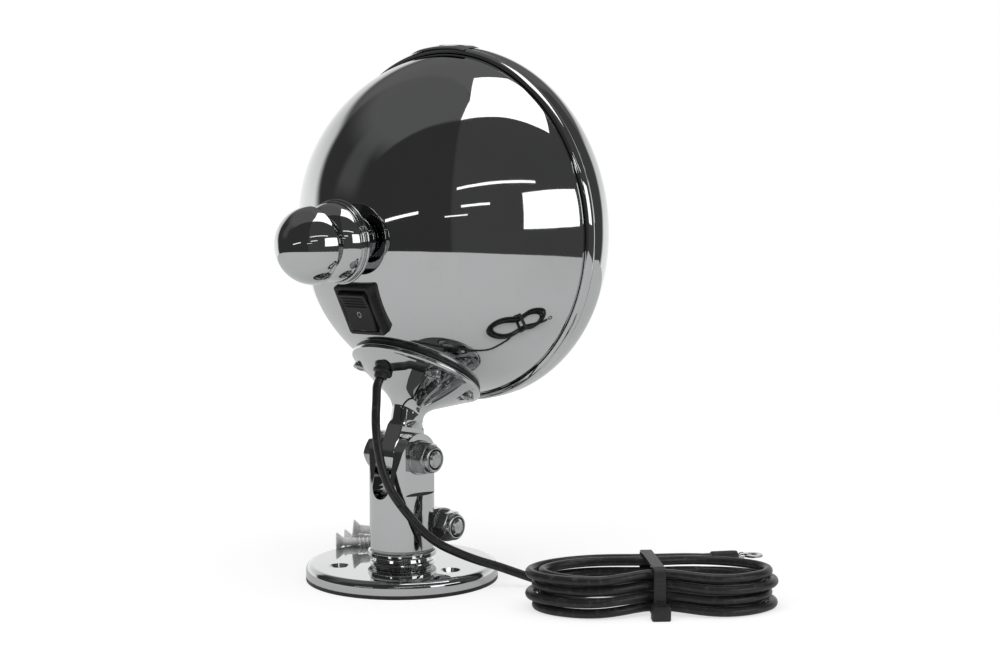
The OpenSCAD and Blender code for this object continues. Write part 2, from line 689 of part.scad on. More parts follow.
module lamp_terminals() color(steel) on_lamp_axis() for (x = [-terminal_gap, terminal_gap])
    translate([x, 0, reflector_pole_u - 1 - terminal_len]) {
        cylinder(r = terminal_r - run_gap, h = terminal_len);
        translate([0, 0, -1.6]) cylinder(r = terminal_r + 0.8, h = 1.6);
    }
module lamp_retainer() color(steel) on_lamp_axis() translate([0, 0, retainer_u])
    ring(retainer_r, reflector_r + loose_gap, retainer_t);

// Knob
knob_neck_z = knob_foot_h + bell_h;
grip_z = knob_neck_z + knob_neck_h;
rim_h = 1.2;
rim_in = 1.2;
rim_rise = 2.2;
bell_round = bell_h - rim_rise;
module bell_profile() difference() {
    union() {
        translate([0, -3]) square([knob_foot_r, 3 + knob_foot_h + over]);
        translate([0, knob_foot_h]) {
            square([bell_r, rim_h]);
            square([bell_r - rim_in, rim_rise + over]);
            translate([0, rim_rise]) square([bell_r - rim_in / 2, rim_h]);
            intersection() {
                translate([knob_neck_r - 1, rim_rise]) circle(r = bell_round);
                translate([0, rim_rise]) square([bell_r - rim_in, bell_h]);
            }
        }
        square([knob_neck_r - 1, grip_z]);
        translate([knob_neck_r - 1, knob_neck_z + knob_neck_h / 2]) circle(r = knob_neck_h / 2.2, $fn = 32);
    }
    translate([0, -bowl_r]) circle(r = bowl_r + face_gap, $fn = 240);
}
module on_pole() on_bowl(90) translate([0, 0, bowl_r]) children();
grub_at = knob_foot_h + 6;
grub_turn = 237;
grub_depth = stud_d / 2 + seat_gap;
module at_grub() translate([0, 0, grub_at]) rotate([90, 0, grub_turn]) translate([0, 0, grub_depth]) children();
module knob_bell() color(chrome) on_pole() difference() {
    rotate_extrude() bell_profile();
    translate([0, 0, -5]) cylinder(d = stud_d + 2 * run_gap, h = grip_z + 6);
    at_grub() cylinder(d = grub_d + 2 * thread_gap, h = 2 * bell_r);
}
grip_sphere_z = grip_z - 1.5;
module knob_grip() color(chrome) on_pole() difference() {
    rotate_extrude() intersection() {
        translate([0, grip_sphere_z]) circle(r = grip_r, $fn = 180);
        translate([0, grip_z]) square([grip_r, grip_r]);
    }
    translate([0, 0, grip_z - over]) cylinder(d = stud_d + 2 * run_gap, h = 8 + over);
}
stud_in = 12;
module knob_stud() color(steel) on_pole() translate([0, 0, -stud_in])
    cylinder(d = stud_d, h = stud_in + grip_z + 7.5);
module knob_nut() color(steel) on_pole() {
    reach = 1.7 * stud_d / sqrt(3);
    inner = bowl_r - bowl_wall;
    translate([0, 0, sqrt(inner * inner - reach * reach) - bowl_r - 5]) difference() {
        hexagon(1.7 * stud_d, 5);
        translate([0, 0, -over]) cylinder(d = stud_d + 2 * thread_gap, h = 5 + 2 * over);
    }
}
module knob_grub_screw() color(steel) on_pole() at_grub() cylinder(d = grub_d, h = grub_len);

// Switch
module on_switch() on_bowl(switch_angle) translate([0, 0, bowl_r]) children();
module rocker_pin_line(d) translate([-switch_body_w / 2 + 0.6, 0, -pin_drop]) along_x()
    cylinder(d = d, h = switch_body_w - 1.2);
module switch_frame() color(black) difference() {
    on_switch() difference() {
        union() {
            translate([-switch_w / 2, -switch_len / 2, -3]) cube([switch_w, switch_len, 3 + switch_rim]);
            translate([-switch_body_w / 2, -switch_body_len / 2, -switch_depth])
                cube([switch_body_w, switch_body_len, switch_depth]);
        }
        translate([-rocker_w / 2 - rocker_gap, -rocker_len / 2 - rocker_gap, -rocker_pit])
            cube([rocker_w + 2 * rocker_gap, rocker_len + 2 * rocker_gap, rocker_pit + switch_rim + over]);
        rocker_pin_line(rocker_pin_d + 2 * thread_gap);
    }
    difference() {
        at_bowl() sphere(r = bowl_r + face_gap, $fn = 240);
        on_switch() cube([switch_body_w, switch_body_len, 4 * switch_depth], center = true);
    }
}
// Side view of the rocker: raised at both ends, drawn in below so that it can rock
module rocker_outline() {
    top = switch_rim + rocker_lift;
    half = rocker_len / 2;
    difference() {
        polygon([[rocker_rake - half, top], [half - rocker_rake, top], [half, 0.6], [half * 0.3, -pin_drop - 3.4],
            [-half * 0.3, -pin_drop - 3.4], [-half, 0.6]]);
        translate([0, top + 3 * rocker_len]) circle(r = 3 * rocker_len + 1.3, $fn = 360);
        for (k = [1 : 4]) translate([-half + 1.6 * k, top - 0.15]) circle(r = 0.5, $fn = 16);
    }
}
module switch_rocker() color(black) on_switch() difference() {
    translate([-rocker_w / 2, 0, 0]) rotate([90, 0, 90]) linear_extrude(rocker_w) rocker_outline();
    rocker_pin_line(rocker_pin_d + 2 * run_gap);
}
module rocker_pin() color(steel) on_switch() rocker_pin_line(rocker_pin_d);
module switch_terminals() color(steel) on_switch() for (y = [-6, 0, 6])
    translate([-3, y - 0.4, -switch_depth - 9]) cube([6, 0.8, 9]);

// Lead and hank

// Place of the hank's cord after t turns
function wave(t) = let (s = t - hank_in, n = floor(s / hank_turns), f = s / hank_turns - n)
    s < 0 ? t / hank_in : (n % 2 == 0 ? 1 - f : f);
function climb(x) = x <= 0 ? 0 : x >= 1 ? 1 : x * x * (3 - 2 * x);
function layer(t) = climb(2 * (t - hank_in) + 0.5) + climb(2 * (t - hank_in - hank_turns) + 0.5)
    + climb(2 * (t - hank_in - 2 * hank_turns) + 0.5);
function hank_local(t) =
    let (a = hank_start - 360 * t, off = hank_step * hank_turns * wave(t), x = (hank_half_len - off) * cos(a),
        near = exp(-x * x / (hank_waist * hank_waist)),
        y = sin(a) * (hank_half_w - off - hank_draw * near))
    [x, y, cord_d / 2 + 0.02 + hank_lift * near + hank_pitch * layer(t)];
function hank_world(p) = [hank_at[0] + p[0] * cos(hank_turn) - p[1] * sin(hank_turn),
    hank_at[1] + p[0] * sin(hank_turn) + p[1] * cos(hank_turn), p[2]];
hank_count = floor(hank_end * hank_rings);
hank_path = [for (i = [0 : hank_count]) hank_local(i / hank_rings)];
tail_dir = unit(hank_path[hank_count] - hank_path[hank_count - 1]);
tail_end = hank_path[hank_count] + tail_len * [tail_dir[0], tail_dir[1], 0];
hank_points = concat([for (p = hank_path) hank_world(p)],
    [for (k = [1 : 4]) hank_world(hank_path[hank_count] + k / 4 * (tail_end - hank_path[hank_count]))]);
function self_gap(p, skip) = min([for (i = [0 : len(p) - 1 - skip], j = [i + skip : len(p) - 1]) norm(p[i] - p[j])]);
echo(hank_least_gap = self_gap(hank_points, 8) - cord_d);
// The lead runs straight into the hank for one diameter
lead_join = hank_points[0];
lead_run = cord_d * unit(hank_points[1] - lead_join);
lead_path = concat(spline(concat(lead_points, [lead_join - lead_run]), lead_steps), [lead_join]);
module cord_lead() color(black) tube(lead_path, [sin(photo_turn), -cos(photo_turn), 0], cord_d / 2, lead_sides);
module cord_hank() color(black) tube(hank_points, [0, 0, 1], cord_d / 2, hank_sides);

tie_in_w = 2 * (hank_half_w - hank_draw) + cord_d + 1.4;
tie_in_h = hank_lift - tie_t + hank_pitch * (hank_layers - 1) + cord_d + 0.6;
module in_hank() translate([hank_at[0], hank_at[1], 0]) rotate([0, 0, hank_turn]) children();
module hank_tie() color(black) in_hank() {
    translate([tie_w / 2, 0, 0]) rotate([0, -90, 0]) linear_extrude(tie_w) difference() {
        translate([0, -tie_in_w / 2 - tie_t]) square([tie_in_h + 2 * tie_t, tie_in_w + 2 * tie_t]);
        translate([tie_t, -tie_in_w / 2]) square([tie_in_h, tie_in_w]);
    }
    translate([-tie_w / 2 - 1.5, -tie_in_w / 2 - tie_t - 5, 0.02]) cube([tie_w + 3, 5, 6]);
}
module at_tail() in_hank() translate(tail_end) rotate([0, 0, atan2(tail_dir[1], tail_dir[0])]) rotate([0, 90, 0])
    children();
module cord_sleeve() color(black) at_tail() translate([0, 0, -sleeve_len + 4])
    ring(cord_d / 2 + 0.7, cord_d / 2 + run_gap, sleeve_len);
module ring_terminal() color(steel) at_tail() {
    translate([0, 0, seat_gap]) cylinder(d = cord_d - 0.6, h = crimp_len);
    translate([-ring_t / 2, 0, 0]) rotate([0, 90, 0]) difference() {
        union() {
            translate([-crimp_len - ring_r, 0, 0]) cylinder(r = ring_r, h = ring_t);
            translate([-crimp_len - ring_r, -ring_neck_w / 2, 0]) cube([ring_r + 2 * ring_t, ring_neck_w, ring_t]);
        }
        translate([-crimp_len - ring_r, 0, -over]) cylinder(d = ring_hole_d, h = ring_t + 2 * over);
    }
}

base_flange();
base_gasket();
mounting_screws();
swivel_washer();
clamp_post();
clamp_bolt();
clamp_nut();
clamp_washers();
tilt_bolt();
tilt_nut();
tilt_washers();
head_bracket();
saddle_gasket();
saddle_screws();
saddle_nuts();
cord_grommet();
bowl_shell();
bezel_ring();
bezel_clip();
clip_screw();
lamp_gasket();
lamp_lens();
lamp_reflector();
lamp_burner();
lamp_terminals();
lamp_retainer();
knob_bell();
knob_grip();
knob_stud();
knob_nut();
knob_grub_screw();
switch_frame();
switch_rocker();
rocker_pin();
switch_terminals();
cord_lead();
cord_hank();
hank_tie();
cord_sleeve();
ring_terminal();
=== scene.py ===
import json

import bmesh
import bpy
import numpy as np
from mathutils import Matrix


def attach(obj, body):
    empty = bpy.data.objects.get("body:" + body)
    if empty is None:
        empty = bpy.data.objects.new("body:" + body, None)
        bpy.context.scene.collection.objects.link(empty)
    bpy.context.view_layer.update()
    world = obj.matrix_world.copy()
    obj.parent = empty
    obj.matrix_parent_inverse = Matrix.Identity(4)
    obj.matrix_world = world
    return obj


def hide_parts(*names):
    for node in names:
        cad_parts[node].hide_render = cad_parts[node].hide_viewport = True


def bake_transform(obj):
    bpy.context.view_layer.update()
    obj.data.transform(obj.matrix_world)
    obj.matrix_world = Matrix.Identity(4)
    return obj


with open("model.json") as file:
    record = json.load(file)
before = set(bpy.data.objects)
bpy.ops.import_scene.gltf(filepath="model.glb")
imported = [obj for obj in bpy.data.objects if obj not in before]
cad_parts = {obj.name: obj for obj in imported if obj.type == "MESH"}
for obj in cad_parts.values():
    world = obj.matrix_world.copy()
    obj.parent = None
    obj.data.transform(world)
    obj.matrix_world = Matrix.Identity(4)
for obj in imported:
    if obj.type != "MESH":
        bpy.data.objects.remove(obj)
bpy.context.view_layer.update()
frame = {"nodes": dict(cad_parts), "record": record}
scene = bpy.context.scene
scene.view_settings.view_transform = "Standard"
mm = 0.001  # all shapes below are worked out in millimetres
upward = np.array((0, 0, 1.0))
print("frame loaded:", len(frame["nodes"]), "nodes")


def shift(x, y, z):
    m = np.eye(4)
    m[:3, 3] = x, y, z
    return m


def turn(axis, degrees):  # right-handed turn about one of the three axes
    c, s = np.cos(np.radians(degrees)), np.sin(np.radians(degrees))
    i, j = {"x": (1, 2), "y": (2, 0), "z": (0, 1)}[axis]
    m = np.eye(4)
    m[i, i] = m[j, j] = c
    m[i, j], m[j, i] = -s, s
    return m


def carry(points, place):
    return points @ place[:3, :3].T + place[:3, 3]


def unit(v):
    return v / np.linalg.norm(v, axis=-1, keepdims=True)


def ease(value, low, high):  # 0 at low, 1 at high, flat at both
    t = np.clip((value - low) / (high - low), 0, 1)
    return t * t * (3 - 2 * t)


# where things stand, repeated from the part's source
stand = dict(tiltZ=57, headTilt=5, headForward=57.5, headRise=102.2, bowlRadius=82.5, cameraTurn=223.6)
inHead = shift(0, 0, stand["tiltZ"]) @ turn("x", -stand["headTilt"])
atBowl = inHead @ shift(0, -stand["headForward"], stand["headRise"])
lampAxis = atBowl @ turn("x", 90)
alongX = turn("y", 90)
acrossX = turn("z", 90) @ turn("x", 90)  # a flat outline's thickness then lies along x


def overBowl(angle, height=0):  # z leaves the bowl's lower back at that angle, y runs forwards
    return atBowl @ turn("x", 180 + angle) @ shift(0, 0, height)


# Mesh tools

# a list of grids becomes one mesh: each cell of a grid is a quad, and doubled seams and poles are merged
def meshFromGrids(name, grids, uvs=None):
    verts, quads, loopUvs, count = [], [], [], 0
    for k, grid in enumerate(grids):
        rows, cols = grid.shape[:2]
        index = count + np.arange(rows * cols).reshape(rows, cols)
        cell = np.stack([index[:-1, :-1], index[:-1, 1:], index[1:, 1:], index[1:, :-1]], -1).reshape(-1, 4)
        verts.append(grid.reshape(-1, 3) * mm)
        quads.append(cell)
        if uvs is not None:
            loopUvs.append(uvs[k].reshape(-1, 2)[cell.ravel() - count])
        count += rows * cols
    verts, quads = np.concatenate(verts), np.concatenate(quads)
    mesh = bpy.data.meshes.new(name)
    mesh.vertices.add(len(verts))
    mesh.vertices.foreach_set("co", verts.astype(np.float32).ravel())
    mesh.loops.add(quads.size)
    mesh.loops.foreach_set("vertex_index", quads.astype(np.int32).ravel())
    mesh.polygons.add(len(quads))
    mesh.polygons.foreach_set("loop_start", np.arange(0, quads.size, 4, dtype=np.int32))
    mesh.update(calc_edges=True)
    if uvs is not None:
        layer = mesh.uv_layers.new(name="alongPiece")
        layer.uv.foreach_set("vector", np.concatenate(loopUvs).astype(np.float32).ravel())
    closeSeams(mesh)
    return mesh


def closeSeams(mesh):
    bm = bmesh.new()
    bm.from_mesh(mesh)
    bmesh.ops.remove_doubles(bm, verts=bm.verts, dist=2e-6)
    bmesh.ops.recalc_face_normals(bm, faces=bm.faces)
    bm.to_mesh(mesh)
    bm.free()
    mesh.polygons.foreach_set("use_smooth", np.ones(len(mesh.polygons), bool))
    mesh.update()


def addObject(name, data):
    obj = bpy.data.objects.new(name, data)
    scene.collection.objects.link(obj)
    return obj


def build(name, *grids):
    return addObject(name, meshFromGrids(name, grids))


def standAt(obj, x, y, z, at):  # for cameras and lights, which may be turned and moved
    obj.matrix_world = Matrix(np.vstack([np.stack([x, y, z, at], 1), (0, 0, 0, 1)]))


finishes = {}


# what every finished piece gets: the finish of its slot unless another is named, its body, the solids that it stands
# for hidden, and crisp edges where a crease angle is given
def dress(obj, body, slot, *stoodFor, finish=None, crease=None):
    obj.data.materials.clear()
    obj.data.materials.append(finishes[finish or slot])
    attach(obj, body)
    if stoodFor:
        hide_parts(*stoodFor)
    if crease:
        obj.data.set_sharp_from_angle(angle=np.radians(crease))
    return obj


def workOut(obj):  # the modifiers' result becomes the mesh
    solid = bpy.data.meshes.new_from_object(obj.evaluated_get(bpy.context.evaluated_depsgraph_get()))
    obj.modifiers.clear()
    old, obj.data = obj.data, solid
    bpy.data.meshes.remove(old)


def combine(obj, others, operation):  # each other object is added, cut away or kept in common, and then removed
    for other in others:
        step = obj.modifiers.new("combine", "BOOLEAN")
        step.operation, step.object, step.solver = operation, other, "EXACT"
        bpy.context.view_layer.update()
        workOut(obj)
        bpy.data.objects.remove(other)


def closed(ring):
    return np.vstack([ring, ring[:1]])


def stepLengths(path):
    return np.linalg.norm(np.diff(path, axis=0), axis=1)


# corners (x, y, radius): each corner becomes an arc that touches both its sides,
# with a guard point just outside each end of the arc that keeps the flats flat
def softProfile(corners, steps=7, loop=False):
    c = np.array(corners, float)
    p, r = c[:, :2], c[:, 2:]
    a, b = unit(np.roll(p, 1, 0) - p), unit(np.roll(p, -1, 0) - p)
    half = np.arccos(np.clip((a * b).sum(1, keepdims=True), -0.999999, 0.999999)) / 2
    cut = r / np.tan(half)
    centre = p + unit(a + b + 1e-12) * r / np.sin(half)
    start, end = p + a * cut - centre, p + b * cut - centre
    angle = (np.pi - 2 * half)[:, None]
    t = np.linspace(0, 1, steps)[None, :, None]
    sweep = np.sin((1 - t) * angle) * start[:, None] + np.sin(t * angle) * end[:, None]
    arc = centre[:, None] + sweep / np.sin(angle)
    guard = 0.25 * np.minimum(cut, 0.6)
    before, after = start + centre + a * guard, end + centre + b * guard
    rows = np.concatenate([before[:, None], arc, after[:, None]], 1)
    if not loop:
        rows[0], rows[-1] = p[0], p[-1]
    line = rows.reshape(-1, 2)
    line = line[np.r_[True, stepLengths(line) > 1e-5]]
    return closed(line) if loop else line


def arcPoints(cx, cy, radius, start, end, count):
    a = np.radians(np.linspace(start, end, count))
    return np.stack([cx + radius * np.cos(a), cy + radius * np.sin(a)], 1)


def withRadius(line, radius=0.0):
    return np.c_[line, np.full(len(line), radius)]


# a profile of (distance from the axis, height) turned about z
def turned(profile, place, columns=144):
    a = np.linspace(0, 2 * np.pi, columns + 1)
    r, z = profile[:, :1], profile[:, 1:]
    return carry(np.stack([r * np.cos(a), r * np.sin(a), np.broadcast_to(z, (len(r), columns + 1))], -1), place)


def cylinder(radius, low, high, place, columns):
    return turned(np.array([(0, low), (radius, low), (radius, high), (0, high)], float), place, columns)


def ringLine(inner, outer, low, high, innerEdge, outerEdge):  # a flat ring's section with rounded edges
    return softProfile([(inner, low, innerEdge), (outer, low, outerEdge), (outer, high, outerEdge),
                        (inner, high, innerEdge)], 4, True)


# an outline carried from one height to another, with bevelled ends and closed by fans to its middle
def prism(outline, low, high, place, bevel=0.0):
    ring = closed(outline)
    middle = outline.mean(0)
    inward = unit(middle - ring) * bevel
    levels = [(low, None), (low, 1), (low + bevel, 0), (high - bevel, 0), (high, 1), (high, None)]
    rows = [np.c_[np.broadcast_to(middle, ring.shape) if k is None else ring + k * inward, np.full(len(ring), z)]
            for z, k in levels]
    return carry(np.stack(rows), place)


def boxOutline(x0, x1, y0, y1):
    return np.array([[x0, y0], [x1, y0], [x1, y1], [x0, y1]], float)


def roundedOblong(halfX, halfY, radius, perCorner=10):  # four quarter circles joined by straights
    a = np.radians(np.linspace(0, 90, perCorner))
    corners = [(1, 1), (-1, 1), (-1, -1), (1, -1)]
    ring = [np.stack([sx * (halfX - radius) + radius * np.cos(a + k * np.pi / 2),
                      sy * (halfY - radius) + radius * np.sin(a + k * np.pi / 2)], 1)
            for k, (sx, sy) in enumerate(corners)]
    return np.vstack(ring)


def wallGrids(levels):  # the four walls that join the edges of grids lying over one another
    ends = [np.stack([g[k] for g in levels]) for k in (0, -1)]
    return ends + [np.stack([g[:, k] for g in levels]) for k in (0, -1)]


# Camera, at the photograph's place

camera = dict(back=(-0.6894, 0.7244, 0), distance=0.7, height=0.16577, pitch=4.24, yaw=3.73, lens=54.73,
              film=36, near=0.01, far=50)
viewBack = np.array(camera["back"])
viewRight = np.cross(upward, viewBack)


def placeCamera():
    pitch, yaw = np.radians(camera["pitch"]), np.radians(camera["yaw"])
    ahead = -viewBack * np.cos(yaw) + viewRight * np.sin(yaw)
    side = viewRight * np.cos(yaw) + viewBack * np.sin(yaw)
    look = ahead * np.cos(pitch) - upward * np.sin(pitch)
    top = upward * np.cos(pitch) + ahead * np.sin(pitch)
    data = bpy.data.cameras.new("camera")
    data.lens, data.sensor_width = camera["lens"], camera["film"]
    data.clip_start, data.clip_end = camera["near"], camera["far"]
    scene.camera = addObject("camera", data)
    standAt(scene.camera, side, top, -look, viewBack * camera["distance"] + upward * camera["height"])


placeCamera()
print("camera placed")


# Finishes

# wraps a node's socket, so that sums on values become Math nodes
class Wire:
    def __init__(self, tree, socket=None):
        self.tree, self.socket = tree, socket

    def add(self, kind, settings=None, sockets=None, out=0):
        node = self.tree.nodes.new(kind)
        for key, value in (settings or {}).items():
            setattr(node, key, value)
        for key, value in (sockets or {}).items():
            if isinstance(value, Wire):
                self.tree.links.new(value.socket, node.inputs[key])
            else:
                node.inputs[key].default_value = value
        return Wire(self.tree, node.outputs[out])

    def maths(self, operation, *values):
        return self.add("ShaderNodeMath", {"operation": operation}, dict(enumerate(values)))

    def __add__(self, other):
        return self.maths("ADD", self, other)

    def __radd__(self, other):
        return self.maths("ADD", other, self)

    def __sub__(self, other):
        return self.maths("SUBTRACT", self, other)

    def __rsub__(self, other):
        return self.maths("SUBTRACT", other, self)

    def __mul__(self, other):
        return self.maths("MULTIPLY", self, other)

    def __rmul__(self, other):
        return self.maths("MULTIPLY", other, self)

    def between(self, low, high):  # 0 below low, 1 above high, eased
        return self.add("ShaderNodeMapRange", {"interpolation_type": "SMOOTHSTEP"},
                        {"Value": self, "From Min": low, "From Max": high})

    def place(self, scale=(1, 1, 1), source="Object"):
        where = self.add("ShaderNodeTexCoord", out=source)
        return self.add("ShaderNodeMapping", None, {"Vector": where, "Scale": scale})

    def noise(self, where, scale, detail):
        return self.add("ShaderNodeTexNoise", None,
                        {"Vector": where, "Scale": scale, "Detail": detail, "Roughness": 0.5})

    def patches(self, where, scale, detail, low, high):  # noise that fades in between two of its values
        return self.noise(where, scale, detail).between(low, high)

    def blendColours(self, share, first, second):
        return self.add("ShaderNodeMix", {"data_type": "RGBA"}, {0: share, 6: (*first, 1), 7: (*second, 1)}, 2)


# a pattern gives three things: the share of the second colour, the share of the greater roughness, and a height
def wiped(w, look):
    haze, fleck = (w.patches(w.place(), *look[key]) for key in ("haze", "fleck"))
    wipes = w.patches(w.place(look["wipeScale"]), *look["wipes"])
    forHaze, forFleck, forWipes = look["shares"]
    share = w.maths("MINIMUM", haze * forHaze + fleck * forFleck + wipes * forWipes, 1.0)
    return share, share, w.noise(w.place(), *look["ripple"])


def stained(w, look):
    grain = w.noise(w.place(look["grainScale"]), *look["grain"])
    stain = w.patches(w.place(), *look["stain"])
    return stain * look["stainShare"], grain * 0.5 + stain * 0.5, grain


def patchy(w, look):
    share = w.patches(w.place(), *look["patches"])
    return share, share, w.noise(w.place(), *look["relief"]) if "relief" in look else None


def grainy(w, look):
    grain = w.noise(w.place(), *look["grain"])
    return grain, grain, grain


def moulded(w, look):
    wear, grain = w.patches(w.place(), *look["wear"]), w.noise(w.place(), *look["grain"])
    return wear, wear + grain * 0.5, grain


def scuffed(w, look):
    scuff = w.patches(w.place(look["scuffScale"], "UV"), *look["scuff"])
    return scuff, scuff, w.noise(w.place(look["fineScale"], "UV"), *look["fine"])


# by slot; noise is given as scale and detail, and patches also by the two values that they fade in between
looks = dict(
    chrome=dict(
        name="polishedChrome", pattern=wiped, shine={"Metallic": 1.0}, smooth=0.03, rough=0.07, bump=(0.012, 0.002),
        colours=[(0.55, 0.555, 0.56), (0.48, 0.483, 0.487)], haze=(22, 4, 0.5, 0.72), fleck=(900, 2, 0.66, 0.76),
        wipes=(1.0, 2, 0.6, 0.8), wipeScale=(300, 40, 40), shares=(0.35, 0.4, 0.2), ripple=(60, 2)),
    steel=dict(
        name="platedSteel", pattern=stained, shine={"Metallic": 1.0}, smooth=0.14, rough=0.34, bump=(0.12, 0.0003),
        colours=[(0.5, 0.505, 0.51), (0.3, 0.3, 0.3)], grainScale=(250, 250, 2500), grain=(1.0, 2),
        stain=(140, 3, 0.45, 0.75), stainShare=0.6),
    zinc=dict(
        name="brightZinc", pattern=patchy, shine={"Metallic": 0.1}, smooth=0.28, rough=0.5,
        colours=[(0.97, 0.97, 0.97), (0.8, 0.8, 0.8)], patches=(700, 3, 0.4, 0.7)),
    rubber=dict(
        name="blackRubber", pattern=patchy, shine={"Specular IOR Level": 0.4}, smooth=0.42, rough=0.66,
        colours=[(0.018, 0.018, 0.019), (0.04, 0.04, 0.041)], patches=(260, 4, 0.45, 0.75), relief=(2200, 2),
        bump=(0.25, 0.0002)),
    nylon=dict(
        name="paleNylon", pattern=grainy, shine={"Subsurface Weight": 0.1}, smooth=0.4, rough=0.55,
        colours=[(0.72, 0.72, 0.68), (0.55, 0.55, 0.51)], grain=(300, 3)),
    switch_black=dict(
        name="mouldedBlack", pattern=moulded, shine={"Specular IOR Level": 0.22}, smooth=0.3, rough=0.5,
        colours=[(0.017, 0.017, 0.018), (0.045, 0.045, 0.046)], wear=(180, 4, 0.55, 0.8), grain=(3500, 2),
        bump=(0.3, 0.0001)),
    marks=dict(
        name="printedMarks", pattern=patchy, shine={"Roughness": 0.5}, colours=[(0.5, 0.5, 0.5), (0.2, 0.2, 0.2)],
        patches=(2500, 3, 0.55, 0.75)),
    lens_glass=dict(
        name="clearGlass", pattern=patchy, smooth=0.015, rough=0.065, patches=(60, 3, 0.5, 0.8),
        shine={"Transmission Weight": 1.0, "IOR": 1.47, "Base Color": (0.96, 0.975, 0.97, 1)}),
    silvered=dict(
        name="silveredGlass", pattern=grainy, shine={"Metallic": 1.0}, smooth=0.04, rough=0.1, bump=(0.05, 0.001),
        colours=[(0.82, 0.82, 0.82), (0.7, 0.7, 0.71)], grain=(420, 1)),
    cord_black=dict(
        name="blackSheath", pattern=scuffed, shine={"Specular IOR Level": 0.45}, smooth=0.34, rough=0.55,
        colours=[(0.016, 0.016, 0.017), (0.05, 0.05, 0.05)], scuffScale=(3, 260, 1), scuff=(1.5, 4, 0.5, 0.78),
        fineScale=(30, 2400, 1), fine=(1.0, 2), bump=(0.15, 0.0001)),
    tie_black=dict(
        name="blackTie", pattern=grainy, shine={"Specular IOR Level": 0.5}, smooth=0.3, rough=0.5,
        colours=[(0.014, 0.014, 0.015), (0.03, 0.03, 0.031)], grain=(1800, 2), bump=(0.2, 0.0001)))


def newFinish(look):
    material = bpy.data.materials.new(look["name"])
    material.use_nodes = True
    w = Wire(material.node_tree)
    shader = w.tree.nodes["Principled BSDF"]
    for key, value in look["shine"].items():
        shader.inputs[key].default_value = value
    share, rough, height = look["pattern"](w, look)
    feeds = {}
    if "colours" in look:
        feeds["Base Color"] = w.blendColours(share, *look["colours"])
    if "smooth" in look:
        feeds["Roughness"] = look["smooth"] + (look["rough"] - look["smooth"]) * rough
    if "bump" in look:
        strength, distance = look["bump"]
        feeds["Normal"] = w.add("ShaderNodeBump", None,
                                {"Height": height, "Strength": strength, "Distance": distance})
    for key, value in feeds.items():
        w.tree.links.new(value.socket, shader.inputs[key])
    return material


finishes.update((slot, newFinish(look)) for slot, look in looks.items())
for part in frame["record"]["subparts"]:
    node = frame["nodes"][part["node"]]
    node.data.materials.clear()
    node.data.materials.append(finishes[part["material_slot"]])
print("finishes made:", len(finishes))


# Lead and hank

lead = dict(diameter=4.0, steps=10, splitPoint=8, points=[
    (0.5, 13.6, 93.6), (0.5, 15.5, 90.2), (-1.5, 18, 84), (-3, 20, 77.5), (-5, 21.8, 71), (-7, 22.5, 62.5),
    (-9, 22, 54), (-12.3, 20.3, 45), (-16.2, 17.7, 38), (-20.7, 14.8, 31.5), (-25, 12, 26), (-30.2, 7.2, 20.5),
    (-36, 0.5, 16), (-41.5, -5.7, 12.6), (-47.8, -12.8, 9.4), (-54.5, -18.8, 6.2), (-61.5, -22.5, 4),
    (-69, -25, 2.8), (-77.5, -27.6, 2.4), (-85.5, -30, 2.7)])
hank = dict(at=(-121, -28), halfLength=54, halfWidth=27, draw=11, step=5.4, turns=1.5, layers=3, pitch=4.6,
            waist=20, start=105.6, end=6.125, lift=1.7, clear=0.02, coarse=24, perCoarse=4, tail=12, tailSteps=8,
            sides=14)
cordRadius = lead["diameter"] / 2


# a smooth curve through points: on each span, the cubic that leaves and arrives along its neighbours' chords
def curveThrough(points, steps):
    p = np.array(points, float)
    a, b, c, d = np.r_[p[:1], p[:-2]], p[:-1], p[1:], np.r_[p[2:], p[-1:]]
    t = (np.arange(steps) / steps)[None, :, None]
    a, b, c, d = (v[:, None] for v in (a, b, c, d))
    span = 0.5 * (2 * b + (c - a) * t + (2 * a - 5 * b + 4 * c - d) * t**2 + (3 * b - 3 * c + d - a) * t**3)
    return np.vstack([span.reshape(-1, 3), p[-1:]])


# the hank: an oval run round and round, stepping in and out by turns, drawn in and lifted at its tie
def hankPath():
    h = hank
    first = h["turns"] + (h["start"] - 90) / 360
    spans = int(np.floor(h["end"] * h["coarse"]))
    t = np.linspace(0, spans / h["coarse"], spans * h["perCoarse"] + 1)
    s = (t - first) / h["turns"]
    n = np.floor(s)
    wave = np.where(s < 0, t / first, np.where(n % 2 == 0, 1 - (s - n), s - n))
    layer = sum(ease(t - first - k * h["turns"], -0.25, 0.25) for k in range(h["layers"]))
    a = np.radians(h["start"] - 360 * t)
    off = h["step"] * h["turns"] * wave
    x = (h["halfLength"] - off) * np.cos(a)
    near = np.exp(-(x / h["waist"]) ** 2)
    y = np.sin(a) * (h["halfWidth"] - off - h["draw"] * near)
    z = cordRadius + h["clear"] + h["lift"] * near + h["pitch"] * layer
    path = np.stack([x, y, z], 1)
    way = unit(path[-1] - path[-1 - h["perCoarse"]]) * (1, 1, 0)
    tail = path[-1] + np.linspace(0, 1, h["tailSteps"] + 1)[1:, None] * h["tail"] * way
    return np.vstack([path, tail]), way


